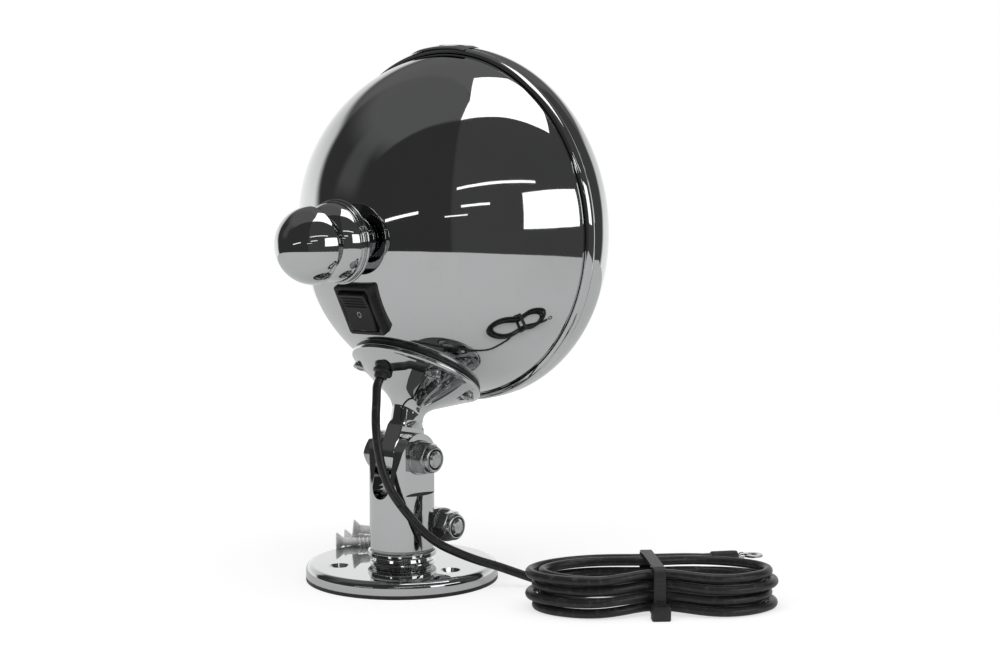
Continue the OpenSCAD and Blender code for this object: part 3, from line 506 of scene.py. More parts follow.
# a cord: a circle carried along a path, square to it, with one fixed direction as its guide;
# its UV map runs across it in turns and along it in metres
def layCord(name, path, guide, sides=16):
    along = unit(np.gradient(path, axis=0))
    u = unit(np.cross(along, guide))
    v = np.cross(u, along)
    a = np.linspace(0, 2 * np.pi, sides + 1)[None, :, None]
    ring = path[:, None] + cordRadius * (np.cos(a) * u[:, None] + np.sin(a) * v[:, None])
    ends = [np.broadcast_to(path[k], ring[k].shape)[None] for k in (0, -1)]
    grid = np.concatenate([ends[0], ring, ends[1]])
    run = np.r_[0, np.cumsum(stepLengths(path))] * mm
    uv = np.stack(np.meshgrid(np.linspace(0, 1, sides + 1), np.r_[run[0], run, run[-1]]), -1)
    return addObject(name, meshFromGrids(name, [grid], [uv]))


def pathLength(path):
    return stepLengths(path).sum()


viewTurn = turn("z", stand["cameraTurn"])
onDeck = shift(*hank["at"], 0) @ viewTurn
hankLocal, tailWay = hankPath()
hankLine = carry(hankLocal, onDeck)
joinRun = hankLine[0] - lead["diameter"] * unit(hankLine[hank["perCoarse"]] - hankLine[0])
leadLine = np.vstack([curveThrough(lead["points"] + [tuple(joinRun)], lead["steps"]), hankLine[:1]])
split = lead["splitPoint"] * lead["steps"]
acrossView = viewTurn[:3, :3] @ (0, -1, 0)

upperLead = layCord("leadUpper", leadLine[:split + 1], acrossView)
lowerLead = layCord("leadLower", leadLine[split:], acrossView)
hankCord = layCord("hankCord", hankLine, upward, hank["sides"])
for obj in (upperLead, lowerLead, hankCord):
    obj.data.materials.append(finishes["cord_black"])
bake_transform(upperLead)
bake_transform(lowerLead)
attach(hankCord, "base")
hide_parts("cord_lead")
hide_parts("cord_lead")
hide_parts("cord_hank")
print("cords laid: lead %.0f mm, hank %.0f mm" % (pathLength(leadLine), pathLength(hankLine)))

# the tie: a strap of rounded section carried round a rounded oblong, with ribs across it, and its head block,
# which is given as shares of its outline and heights
tie = dict(width=5, thick=1.2, edge=0.3, slackWide=1.4, slackHigh=0.6, corner=3.0, rib=0.12, ribs=60, steps=420,
           headLength=5, headWide=8, headCorner=1.0,
           head=[(0, 0.02), (0.94, 0.02), (1, 0.4), (1, 5.5), (0.93, 6), (0.55, 6), (0.5, 5.2), (0, 5.2)])


def makeTie():
    t = tie
    wide = 2 * (hank["halfWidth"] - hank["draw"]) + lead["diameter"] + t["slackWide"]
    high = hank["lift"] - t["thick"] + hank["pitch"] * hank["layers"] + lead["diameter"] + t["slackHigh"]
    loop = closed(roundedOblong((wide + t["thick"]) / 2, (high + t["thick"]) / 2, t["corner"], 14))
    run = np.r_[0, np.cumsum(stepLengths(loop))]
    fine = np.linspace(0, run[-1], t["steps"])
    loop = np.stack([np.interp(fine, run, loop[:, k]) for k in (0, 1)], 1)
    loop[-1] = loop[0]
    outward = np.roll(unit(np.gradient(loop, axis=0)), 1, 1) * (1, -1)
    flat = boxOutline(-t["width"] / 2, t["width"] / 2, -t["thick"] / 2, t["thick"] / 2)
    section = softProfile(withRadius(flat, t["edge"]), 4, True)
    across, depth = section[None, :, 0], section[None, :, 1]
    rib = 1 - t["rib"] * (np.sin(fine / run[-1] * 2 * np.pi * t["ribs"]) > 0)[:, None]
    depth = depth * np.where(depth > 0.2, rib, 1)
    strap = np.stack([np.broadcast_to(across, depth.shape), loop[:, :1] + outward[:, :1] * depth,
                      loop[:, 1:] + outward[:, 1:] * depth + high / 2 + t["thick"]], -1)
    block = closed(roundedOblong(t["headWide"] / 2, t["headLength"] / 2, t["headCorner"], 6))
    head = np.stack([np.c_[block * k, np.full(len(block), z)] for k, z in t["head"]])
    head[..., 1] -= wide / 2 + t["thick"] + t["headLength"] / 2
    obj = build("hankTie", carry(strap, onDeck), carry(head, onDeck))
    return dress(obj, "base", "tie_black", "hank_tie", crease=35)


hankTie = makeTie()

# end of the lead: a shrunk sleeve over the sheath and a crimped ring
leadEnd = dict(sleeve=12, sleeveOver=4, barrel=7, barrelIn=0.3, pinch=0.28, pinchAt=(2.2, 4.8), pinchWide=0.6,
               bulge=0.15, ring=4.6, hole=4.3, thick=1.0, neck=3.2, neckBack=1.5, neckAhead=2.2)
tailTurn = np.degrees(np.arctan2(tailWay[1], tailWay[0]))
atTail = onDeck @ shift(*hankLocal[-1]) @ turn("z", tailTurn) @ alongX


def makeSleeve():
    r, low, high = cordRadius, leadEnd["sleeveOver"] - leadEnd["sleeve"], leadEnd["sleeveOver"]
    line = softProfile([(r + 0.05, low, 0.1), (r + 0.7, low, 0.3), (r + 0.62, high - 2, 1), (r + 0.45, high, 0.3),
                        (r * 0.6, high, 0.1), (r * 0.6, low + 1, 0.1)], 5, True)
    return dress(build("cordSleeve", turned(line, atTail, 32)), "base", "cord_black", "cord_sleeve", finish="rubber")


# crimp barrel: a tube pressed flat in two bands; ring: an annulus with rounded edges and a neck
def makeRingTerminal():
    e = leadEnd
    z = np.linspace(0.1, e["barrel"], 40)[:, None]
    a = np.linspace(0, 2 * np.pi, 33)
    pinch = 1 - sum(e["pinch"] * np.exp(-((z - at) / e["pinchWide"]) ** 2) for at in e["pinchAt"])
    r = cordRadius - e["barrelIn"]
    barrel = np.stack([r * pinch * np.cos(a), r * (1 + e["bulge"] * (1 - pinch)) * np.sin(a),
                       np.broadcast_to(z, (len(z), len(a)))], -1)
    barrel = np.concatenate([barrel[:1] * (0, 0, 1), barrel, barrel[-1:] * (0, 0, 1)])
    t, half = e["thick"] / 2, e["neck"] / 2
    line = ringLine(e["hole"] / 2, e["ring"], -t, t, 0.2, 0.3)
    ring = turned(line, atTail @ shift(0, 0, e["barrel"] + e["ring"]) @ alongX, 48)
    low, high = e["barrel"] - e["neckBack"], e["barrel"] + e["neckAhead"]
    neck = prism(boxOutline(-t, t, -half, half), low, high, atTail, 0.15)
    obj = build("ringTerminal", carry(barrel, atTail), ring, neck)
    return dress(obj, "base", "steel", "ring_terminal", crease=40)


cordSleeve, ringTerminal = makeSleeve(), makeRingTerminal()
hankLine[0] * mm
hankLine * mm
print("tie, sleeve and ring made")


# Base

base = dict(radius=44.5, bottom=1.5, thick=6, edgeRound=3, boss=14, bossTop=10.8, bossWaist=0.5, fillet=1.4,
            filletHigh=1.2, filletStep=1.0, collar=16, collarTop=13.5, spigot=9, spigotTop=35.5, holes=3,
            holeRing=30, holeTurn=30, hole=5, sink=9.4)
baseTop = base["bottom"] + base["thick"]


def makeBase():
    b = base
    line = softProfile([
        (0, b["bottom"], 0), (b["radius"], b["bottom"], 0.3), (b["radius"], baseTop, b["edgeRound"]),
        (b["boss"] + b["fillet"], baseTop, 0.5), (b["boss"] + b["filletStep"], baseTop + b["filletStep"], 0.4),
        (b["boss"], baseTop + b["filletHigh"], 0.4), (b["boss"] - b["bossWaist"], b["bossTop"], 0.5),
        (b["collar"], b["bossTop"], 0.8), (b["collar"], b["collarTop"], 0.8), (b["spigot"], b["collarTop"], 0.2),
        (b["spigot"], b["spigotTop"], 0.6), (0, b["spigotTop"], 0)], 9)
    flange = build("baseFlange", turned(line, np.eye(4), 192))
    half, wide, over = b["hole"] / 2, b["sink"] / 2, 0.3
    bore = np.array([(0, -1), (half, -1), (half, baseTop - wide + half), (wide, baseTop),
                     (wide + over, baseTop + over), (0, baseTop + over)], float)
    at = arcPoints(0, 0, b["holeRing"], 90 - b["holeTurn"], -270 - b["holeTurn"], b["holes"] + 1)[:-1]
    combine(flange, [build("cut", turned(bore, shift(x, y, 0), 48)) for x, y in at], "DIFFERENCE")
    dress(flange, "base", "chrome", "base_flange", crease=28)


makeBase()

# loose wood screws: flat head with a cross recess, thread ridge r = core + height * tent(z / pitch - turn)
woodScrew = dict(head=8.6, rim=0.6, coneHigh=3.3, headHigh=4.2, core=1.45, thread=2.1, pitch=1.9, ridge=0.26,
                 threadFrom=8, threadFull=11, plainTo=9, plainEnd=11, length=28, point=6, recess=2.4, arm=0.62,
                 blade=2.3)
# how they lie on the flange: two side by side, staggered, and one on top of them
pile = dict(out=34, back=4, stagger=3.8, closer=1.5, clear=0.05, apart=0.2)


def woodScrewGrids(place):
    s = woodScrew
    a = np.linspace(0, 2 * np.pi, 37)
    z = np.linspace(s["headHigh"], s["length"], 260)[:, None]
    taper = np.clip((s["length"] - z) / s["point"], 0.02, 1) ** 0.8
    phase = (z / s["pitch"] - a[None] / (2 * np.pi)) % 1
    begun = np.clip((z - s["threadFrom"]) / (s["threadFull"] - s["threadFrom"]), 0, 1)
    ridge = np.clip(1 - np.abs(phase - 0.5) / s["ridge"], 0, 1) * begun
    plain = np.clip((s["plainEnd"] - z) / (s["plainEnd"] - s["plainTo"]), 0, 1)
    core = s["core"] + (s["thread"] - s["core"]) * plain
    r = (core + (s["thread"] - core) * ridge) * taper
    shank = np.stack([r * np.cos(a), r * np.sin(a), np.broadcast_to(z, r.shape)], -1)
    shank = np.concatenate([shank, shank[-1:] * (0, 0, 1)])
    cone = softProfile([(s["head"] / 2, 0, 0), (s["head"] / 2, s["rim"], 0.2), (s["thread"], s["coneHigh"], 0.6),
                        (s["thread"], s["headHigh"], 0)], 5)
    return [carry(shank, place), turned(cone, place, 36), crossTop(s, place)]


# a head's face as rings and spokes, pushed in where a cross of two tapered bars lies
def crossTop(s, place, flip=1, dome=0.0):
    r = np.linspace(0, 1, 40)[:, None] * s["head"] / 2
    a = np.linspace(0, 2 * np.pi, 73)[None]
    x, y = r * np.cos(a), r * np.sin(a)
    long, short = np.maximum(np.abs(x), np.abs(y)), np.minimum(np.abs(x), np.abs(y))
    inside = np.clip((s["arm"] - short) / 0.12, 0, 1) * np.clip((s["blade"] - long) / 0.3, 0, 1)
    z = s["recess"] * inside * np.clip(1 - 0.7 * long / s["blade"], 0, 1) - dome * (1 - (2 * r / s["head"]) ** 2)
    return carry(np.stack([x, y, flip * z], -1), place)


def makeScrews():
    p, wide, shank, length = pile, woodScrew["head"], 2 * woodScrew["thread"], woodScrew["length"]
    rowZ = baseTop + shank / 2 + p["clear"]
    apart = wide - p["closer"]
    stackZ = np.sqrt(((wide + shank) / 2 + p["apart"]) ** 2 - apart**2 / 4)
    tipRise = np.sqrt((shank + p["apart"]) ** 2 - apart**2 / 4)
    lean = np.degrees(np.arctan((stackZ - tipRise) / length))
    places = [shift(-length - p["back"] + p["stagger"] * k, p["out"] + apart * k, rowZ) @ alongX for k in (0, 1)]
    places.append(shift(p["back"] - length, p["out"] + apart / 2, rowZ + stackZ) @ turn("y", 90 + lean))
    screws = build("looseScrews", *(g for place in places for g in woodScrewGrids(viewTurn @ place)))
    dress(screws, "base", "steel", "mounting_screws", finish="zinc", crease=40)


makeScrews()
print("base and loose screws made")


# Post

post = dict(radius=15, bottom=14.5, top=40, lap=0.02, columnLow=38, columnHigh=72, forkWide=23, slot=10.4,
            slotDrop=18.8, slotTop=80, forkRound=11, tiltRise=17, slit=2, slitTop=36, slitOut=40, lugWide=22,
            lugRound=8, clampOff=15.5, clampZ=23.5, washer=16.6, edge=0.7, edgeSteps=3, edgeAngle=32, past=30)


def makePost():
    p = post
    spread, rise, rr, past = p["radius"], p["tiltRise"], p["forkRound"], p["past"]
    # fork: a circle with straight sides that touch it and run down to the barrel's width, cut to a round column
    lean = np.degrees(np.arccos(rr / np.hypot(spread, rise)) - np.arctan(rise / spread))
    outline = np.vstack([arcPoints(0, 0, rr, lean, 180 - lean, 40), [(-spread, -rise - 1), (spread, -rise - 1)]])
    fork = prism(outline, -p["forkWide"] / 2, p["forkWide"] / 2, shift(0, 0, stand["tiltZ"]) @ acrossX)
    column = build("column", cylinder(spread, p["columnLow"], p["columnHigh"], np.eye(4), 128))
    combine(column, [build("fork", fork)], "INTERSECT")
    barrel = build("clampPost", cylinder(spread, p["bottom"], p["top"] + p["lap"], np.eye(4), 128))
    lug = np.vstack([arcPoints(-p["clampOff"], 0, p["lugRound"], 90, 270, 32),
                     [(0, -p["lugRound"]), (0, p["lugRound"])]])
    half, atClamp = p["lugWide"] / 2, shift(0, -p["clampOff"], p["clampZ"])
    lugs = build("lugs", prism(lug, -half, half, shift(0, 0, p["clampZ"]) @ acrossX))
    combine(barrel, [column, lugs], "UNION")
    wide, slotFloor = p["slot"] / 2, stand["tiltZ"] - p["slotDrop"]
    slot = np.vstack([arcPoints(0, slotFloor + wide, wide, 180, 360, 24),
                      [(wide, p["slotTop"]), (-wide, p["slotTop"])]])
    slit = boxOutline(-p["slit"] / 2, p["slit"] / 2, -p["slitOut"], 0)
    cuts = [prism(slit, p["bottom"] - 1, p["slitTop"], np.eye(4)), prism(slot, -past, past, turn("x", 90))]
    cuts += [cylinder(p["washer"] / 2, 0, past, atClamp @ shift(side * half, 0, 0) @ turn("y", 90 * side), 64)
             for side in (1, -1)]
    combine(barrel, [build("cut", c) for c in cuts], "DIFFERENCE")
    bevel = barrel.modifiers.new("edges", "BEVEL")
    bevel.width, bevel.segments, bevel.limit_method = p["edge"] * mm, p["edgeSteps"], "ANGLE"
    bevel.angle_limit, bevel.harden_normals = np.radians(p["edgeAngle"]), True
    workOut(barrel)
    dress(barrel, "post", "chrome", "clamp_post")


makePost()

# hexagon fastenings: flats at half of "flats" from the axis, corners cut by a cone of 30 degrees
hexBolt = dict(flats=13, face=0.97, cone=30, headHigh=5.3, nutHigh=5.9, nutCollar=2.4, shank=8, washer=16,
               washerThick=1.4, play=0.25, crown=0.45, end=0.8)


def hexGrid(high, place):
    a = np.linspace(0, 2 * np.pi, 97)
    r = hexBolt["flats"] / 2 / np.cos((a + np.pi / 6) % (np.pi / 3) - np.pi / 6)
    face = hexBolt["flats"] / 2 * hexBolt["face"] + 0 * a
    drop = (r - face) * np.tan(np.radians(hexBolt["cone"]))
    rows = [(0 * a, 0 * a), (r, 0 * a), (r, 0.1 + 0 * a), (r, high - drop - 0.1), (r, high - drop),
            (face, high + 0 * a), (0 * a, high + 0 * a)]
    return carry(np.stack([np.stack([rr * np.cos(a), rr * np.sin(a), z], 1) for rr, z in rows]), place)


def makeCrossBolt(name, middle, grip):
    h = hexBolt
    wide, shank, high, nutTop = h["flats"] / 2, h["shank"] / 2, h["headHigh"], h["nutHigh"] + h["nutCollar"]
    seat, tail = grip / 2 + h["washerThick"], nutTop + h["end"]
    head = shift(*middle) @ shift(seat, 0, 0) @ alongX
    end = shift(*middle) @ shift(-seat, 0, 0) @ turn("y", -90)
    crown = softProfile([(0, high + h["crown"], 0), (wide - 1.6, high + h["crown"], 0.4),
                         (wide - 0.9, high - 0.3, 0)], 5)
    shaft = softProfile([(0, tail, 0), (shank - 1.2, tail, 0.3), (shank - 0.1, tail - 0.8, 0.2),
                         (shank - 0.1, -2 * seat, 0), (0, -2 * seat, 0)], 5)
    bolt = build(name + "Bolt", hexGrid(high, head), turned(crown, head, 48), turned(shaft, end, 48))
    collar = softProfile([(shank + 0.05, nutTop - 1.4, 0), (shank + 0.7, nutTop - 0.5, 0.3),
                          (shank + 1.0, nutTop, 0.3), (wide - 0.25, nutTop, 1.5),
                          (wide - 0.2, h["nutHigh"] - 0.6, 0)], 9)
    nut = build(name + "Nut", hexGrid(h["nutHigh"], end), turned(collar, end, 64))
    line = ringLine(shank + h["play"], h["washer"] / 2, 0, h["washerThick"], 0.1, 0.25)
    washers = build(name + "Washers", *(turned(line, shift(*middle) @ shift(x, 0, 0) @ alongX, 64)
                                        for x in (-seat, grip / 2)))
    for obj, kind in ((bolt, "bolt"), (nut, "nut"), (washers, "washers")):
        dress(obj, "post", "steel", name + "_" + kind, crease=25)


makeCrossBolt("tilt", (0, 0, stand["tiltZ"]), post["forkWide"])
makeCrossBolt("clamp", (0, -post["clampOff"], post["clampZ"]), post["lugWide"])
print("post and its bolts made")


# Bracket: one skin up the stem, out along a slanting cone, over the saddle's edge and back along its underside

saddleScrew = dict(x=23, y=13, head=7.2, high=2.4, dome=0.6, recess=1.3, arm=0.5, blade=1.9, shank=2.0, length=16)
# the grommet's rings: how far in from its radius, how far up and how round
grommet = dict(x=0.5, y=-20.5, radius=4.6, hole=3.2, length=4.5, sink=0.3, room=0.1, tail=3, rings=[
    (0, 1.4, 0.5), (0.7, 1.8, 0.3), (0.7, 2.5, 0.3), (0.1, 2.9, 0.3), (0.2, 4.1, 0.4), (1.2, 4.6, 0.3)])
bracket = dict(angle=33.8, saddleIn=83.7, saddleOut=86.7, saddleRadius=31.5, flare=30, coneHigh=8, stem=7.6,
               stemLow=12.6, stemIn=0.1, blend=4, bend=4, straight=0.72, tongueThick=9.8, tongueRound=10.5,
               tongueEdge=0.6, tongueLap=1, headRoom=0.5, cutHigh=14, cutDeep=8)
onSaddle = overBowl(bracket["angle"])
screwPlaces = [(sx * saddleScrew["x"], sy * saddleScrew["y"]) for sx in (-1, 1) for sy in (-1, 1)]


def saddleHeight(x, y):  # of the saddle's outer sphere, over the bowl's middle
    return np.sqrt(bracket["saddleOut"] ** 2 - x**2 - y**2)


def bracketCuts():
    b, g = bracket, grommet
    seat = saddleHeight(saddleScrew["x"], saddleScrew["y"])
    wide = saddleScrew["head"] / 2 + b["headRoom"]
    cuts = [cylinder(wide, seat, seat + b["cutHigh"], onSaddle @ shift(x, y, 0), 48) for x, y in screwPlaces]
    seat = saddleHeight(g["x"], g["y"])
    low, high, hole, bore = seat - b["cutDeep"], seat + b["cutHigh"], g["hole"] + g["room"], g["radius"] + g["room"]
    step = np.array([(0, low), (hole, low), (hole, seat), (bore, seat), (bore, high), (0, high)])
    return cuts + [turned(step, onSaddle @ shift(g["x"], g["y"], 0), 48)]


def makeBracket():
    b = bracket
    tilt = np.radians(b["angle"])
    normal = np.array((0, np.sin(tilt), -np.cos(tilt)))
    middle = np.array((0, -stand["headForward"], stand["headRise"]))
    stemTop = middle + b["saddleOut"] * normal
    stemWay = unit(stemTop)
    ahead = np.array((0, -stemWay[2], stemWay[1]))
    a = np.linspace(0, 2 * np.pi, 129)
    spoke = np.stack([np.cos(a), np.sin(a), 0 * a], 1)

    def aroundStem(radius, along):  # points round the stem, that far from its line and up it
        flat = np.cos(a)[:, None] * (1, 0, 0) + np.sin(a)[:, None] * ahead
        return carry(np.reshape(radius, (-1, 1)) * flat + np.reshape(along, (-1, 1)) * stemWay, inHead)

    # stem: the tongue's oblong end, eased into a circle
    halfX, halfY = b["tongueThick"] / 2 - b["stemIn"], b["stem"] - b["stemIn"]
    oblong = 1 / np.maximum(np.abs(np.cos(a)) / halfX, np.abs(np.sin(a)) / halfY)
    stem = np.stack([aroundStem(oblong + (b["stem"] - oblong) * ease(k, 0, 1), b["stemLow"] + b["blend"] * k)
                     for k in np.linspace(0, 1, 10)])
    foot = aroundStem(0, b["stemLow"] + 0 * a)[None]
    # slanting cone: on each spoke, straight from the saddle, then one bend round the elbow into the stem's line
    reach = b["saddleOut"] + b["coneHigh"] + normal @ middle - b["stem"] * np.sin(a) * (normal @ ahead)
    elbowUp = reach / (normal @ stemWay)
    elbow, start = aroundStem(b["stem"], elbowUp), aroundStem(b["stem"], elbowUp - b["bend"])
    polar = np.arcsin(b["flare"] / b["saddleOut"])
    rim = carry(spoke * b["flare"] + (0, 0, b["saddleOut"] * np.cos(polar)), onSaddle)
    leave = rim + b["straight"] * (elbow - rim)
    t = np.linspace(0, 1, 20)[:, None, None]
    bend = (1 - t) ** 2 * start + 2 * (1 - t) * t * elbow + t**2 * leave
    cone = leave + np.linspace(0, 1, 24)[1:, None, None] * (rim - leave)
    # saddle: outer sphere, rounded edge, inner sphere
    edge, wallMiddle = (b["saddleOut"] - b["saddleIn"]) / 2, (b["saddleOut"] + b["saddleIn"]) / 2
    edgeAngle = np.degrees(np.arcsin((b["saddleRadius"] - edge) / wallMiddle))
    outer = arcPoints(0, 0, b["saddleOut"], 90 - np.degrees(polar), 90 - edgeAngle, 6)[1:]
    cx, cy = wallMiddle * np.sin(np.radians(edgeAngle)), wallMiddle * np.cos(np.radians(edgeAngle))
    lip = arcPoints(cx, cy, edge, 90 - edgeAngle, -90 - edgeAngle, 14)[1:]
    inner = arcPoints(0, 0, b["saddleIn"], 90 - edgeAngle, 90, 30)[1:]
    skin = turned(np.vstack([outer, lip, inner]), onSaddle, 128)
    # tongue: the farthest of a circle and a strap as wide as the stem, with straight sides between them
    c = np.linspace(0, 2 * np.pi, 61)[:-1]
    disc = b["tongueRound"] * np.stack([np.sin(c), np.cos(c)], 1)
    strap = np.array([(side * b["stem"], b["stemLow"] + b["tongueLap"]) for side in (-1, 1)])
    away = np.arccos(b["tongueRound"] / np.hypot(*strap[1])) + np.arctan2(*strap[1])
    outline = np.vstack([disc[(c >= away) & (c <= 2 * np.pi - away)], strap])
    lean = np.arctan2(-stemTop[1], stemTop[2])
    outline = outline @ np.array([[np.cos(lean), np.sin(lean)], [-np.sin(lean), np.cos(lean)]])
    tongue = prism(outline, -b["tongueThick"] / 2, b["tongueThick"] / 2, inHead @ acrossX, b["tongueEdge"])
    obj = build("headBracket", np.concatenate([foot, stem, bend, cone, skin]))
    combine(obj, [build("cut", c) for c in bracketCuts()], "DIFFERENCE")
    combine(obj, [build("tongue", tongue)], "UNION")
    dress(obj, "head", "chrome", "head_bracket", crease=24)


makeBracket()


def makeSaddleScrews():
    s = saddleScrew
    side = softProfile([(s["shank"], -s["length"], 0.3), (s["shank"], 0, 0.1), (s["head"] / 2 - 0.2, 0, 0.1),
                        (s["head"] / 2, s["high"] - s["dome"], 0.9)], 6)
    side = np.vstack([[(0, -s["length"])], side])
    grids = []
    for x, y in screwPlaces:
        place = onSaddle @ shift(x, y, saddleHeight(x, y))
        grids.append(turned(side, place, 48))
        grids.append(crossTop(s, place @ shift(0, 0, s["high"] - s["dome"]), -1, s["dome"]))
    dress(build("saddleScrews", *grids), "head", "steel", "saddle_screws", crease=40)


makeSaddleScrews()


# grommet: a plug through the saddle, a groove between two rings outside it, and a nose round the cord
def makeGrommet():
    g = grommet
    low, mouth = bracket["saddleIn"] - g["tail"], bracket["saddleOut"] + g["length"]
    seat = saddleHeight(g["x"], g["y"])
    line = softProfile([
        (0, low, 0), (g["hole"], low, 0.3), (g["hole"], seat - g["sink"], 0.2), (g["radius"], seat - g["sink"], 0.4),
        *((g["radius"] - inward, seat + up, edge) for inward, up, edge in g["rings"]), (cordRadius + 0.9, mouth, 0.5),
        (cordRadius - 0.1, mouth, 0.1), (cordRadius - 0.1, mouth - g["tail"], 0), (0, mouth - g["tail"], 0)], 5)
    place = onSaddle @ shift(g["x"], g["y"], 0)
    dress(build("cordGrommet", turned(line, place, 48)), "head", "rubber", "cord_grommet")


makeGrommet()
print("bracket made")


# Bowl and bezel

bowl = dict(wall=1.2, lip=0.9, lipEdge=0.3, edgeU=-8.4)


def makeBowl():
    r, wall = stand["bowlRadius"], bowl["wall"]
    edgeTurn = np.degrees(np.arcsin(bowl["edgeU"] / r))
    outer = arcPoints(0, 0, r, -90, edgeTurn, 150)
    inner = arcPoints(0, 0, r - wall, edgeTurn, -90, 60)
    edgeR, lipU, cut = outer[-1, 0], bowl["edgeU"] + bowl["lip"], bowl["lipEdge"]
    line = np.vstack([outer, [(edgeR, lipU - cut), (edgeR - cut, lipU), (edgeR - wall, lipU)], inner])
    dress(build("bowlShell", turned(line, lampAxis, 240)), "head", "chrome", "bowl_shell")


makeBowl()

bezel = dict(inner=82.8, outer=84.4, arcRadius=20.5, arcU=-8.4, front=10.1, aperture=69.6, lip=1.5, hemU=-12.0,
             backU=-16.0, hemRise=0.8, hemSink=0.35, fit=0.05, skirtU=-8.9)


def onSphere(radius, u):  # a profile's points at those places along the lamp's axis
    return withRadius(np.stack([np.sqrt(radius**2 - u**2), u], 1))


# bezel: a spherical skirt with a rolled hem, and an arc from its widest line to the lip round the lens
def makeBezel():
    b = bezel
    backR = b["arcRadius"] - (b["outer"] - b["inner"])
    arcR = np.sqrt(b["outer"] ** 2 - b["arcU"] ** 2) - b["arcRadius"]
    frontAngle = np.degrees(np.arcsin((b["front"] - b["arcU"]) / b["arcRadius"]))
    backAngle = np.degrees(np.arcsin((b["front"] - b["lip"] - b["arcU"]) / backR))
    s = np.linspace(0, 1, 21)
    hem = b["outer"] - b["hemSink"] + b["hemRise"] * np.sqrt(1 - (2 * s - 1) ** 2)
    line = np.vstack([
        withRadius(arcPoints(arcR, b["arcU"], backR, 0, backAngle, 30)),
        [(b["aperture"], b["front"] - b["lip"], 0.5), (b["aperture"], b["front"], 0.6)],
        withRadius(arcPoints(arcR, b["arcU"], b["arcRadius"], frontAngle, 0, 60)),
        onSphere(b["outer"], np.linspace(b["skirtU"], b["hemU"] + 0.15, 10)),
        onSphere(hem, b["hemU"] + (b["backU"] - b["hemU"]) * s),
        onSphere(b["inner"] + b["fit"], np.linspace(b["backU"], b["skirtU"], 16))])
    obj = build("bezelRing", turned(softProfile(line, 6, True), lampAxis, 240))
    dress(obj, "head", "chrome", "bezel_ring", crease=50)


makeBezel()

# clip: a thin strap over the rim, its height falling off round its four edges, with a shallow seat for its screw
clip = dict(inner=84.08, under=84.9, thick=1.0, halfWide=17, halfLong=6, middleU=-11.0, ends=7, edge=1.4, least=0.02,
            seat=2.5, seatEdge=0.2, seatDeep=0.12)


def makeClip():
    c = clip
    s = np.sin(np.linspace(-np.pi / 2, np.pi / 2, 101))
    x, u = s[:, None] * c["halfWide"], s[None] * c["halfLong"]
    goneX = np.clip((np.abs(x) - c["halfWide"] + c["ends"]) / c["ends"], 0, 1)
    goneU = np.clip((np.abs(u) - c["halfLong"] + c["edge"]) / c["edge"], 0, 1)
    rise = c["thick"] * np.sqrt(np.clip(1 - goneU**2.5, 0, 1)) * (1 - goneX**2) + c["least"]
    rise = rise - c["seatDeep"] * np.clip((c["seat"] + c["seatEdge"] - np.hypot(x, u)) / c["seatEdge"], 0, 1)
    low = np.minimum(c["inner"], np.sqrt(c["under"] ** 2 - (u + c["middleU"]) ** 2)) + 0 * rise
    a = x / c["inner"] + 0 * u
    faces = [np.stack([r * np.sin(a), r * np.cos(a), u + c["middleU"] + 0 * x], -1) for r in (low, low + rise)]
    obj = build("bezelClip", *(carry(g, lampAxis) for g in faces + wallGrids(faces)))
    dress(obj, "head", "chrome", "bezel_clip")


makeClip()

clipScrew = dict(head=4.8, headHigh=0.9, recess=0.7, arm=0.35, blade=1.6, shank=1.5, length=6, proud=0.06)


def makeClipScrew():
    s = clipScrew
    face = clip["inner"] + clip["thick"] - clip["seatDeep"] + s["proud"]
    place = lampAxis @ shift(0, 0, clip["middleU"]) @ turn("x", -90) @ shift(0, 0, face)
    side = softProfile([(s["shank"], -s["length"], 0.2), (s["shank"], -s["headHigh"], 0.1), (s["head"] / 2, 0, 0)], 5)
    obj = build("clipScrew", turned(np.vstack([[(0, -s["length"])], side]), place, 40), crossTop(s, place, -1))
    dress(obj, "head", "steel", "clip_screw", crease=40)


makeClipScrew()
print("bowl and bezel made")


# Lamp behind the bezel

lamp = dict(gasketU=7.6, backU=4.1, domeRadius=68.6, bulge=8, glass=3, radius=72.6, rimIn=6, rimEdge=0.6,
            backShare=0.91, reflector=68.6, reflectorWall=1.5, depth=47, burner=4.9, burnerTip=4.95, burnerLow=4,
            burnerHigh=14, tipUp=17)


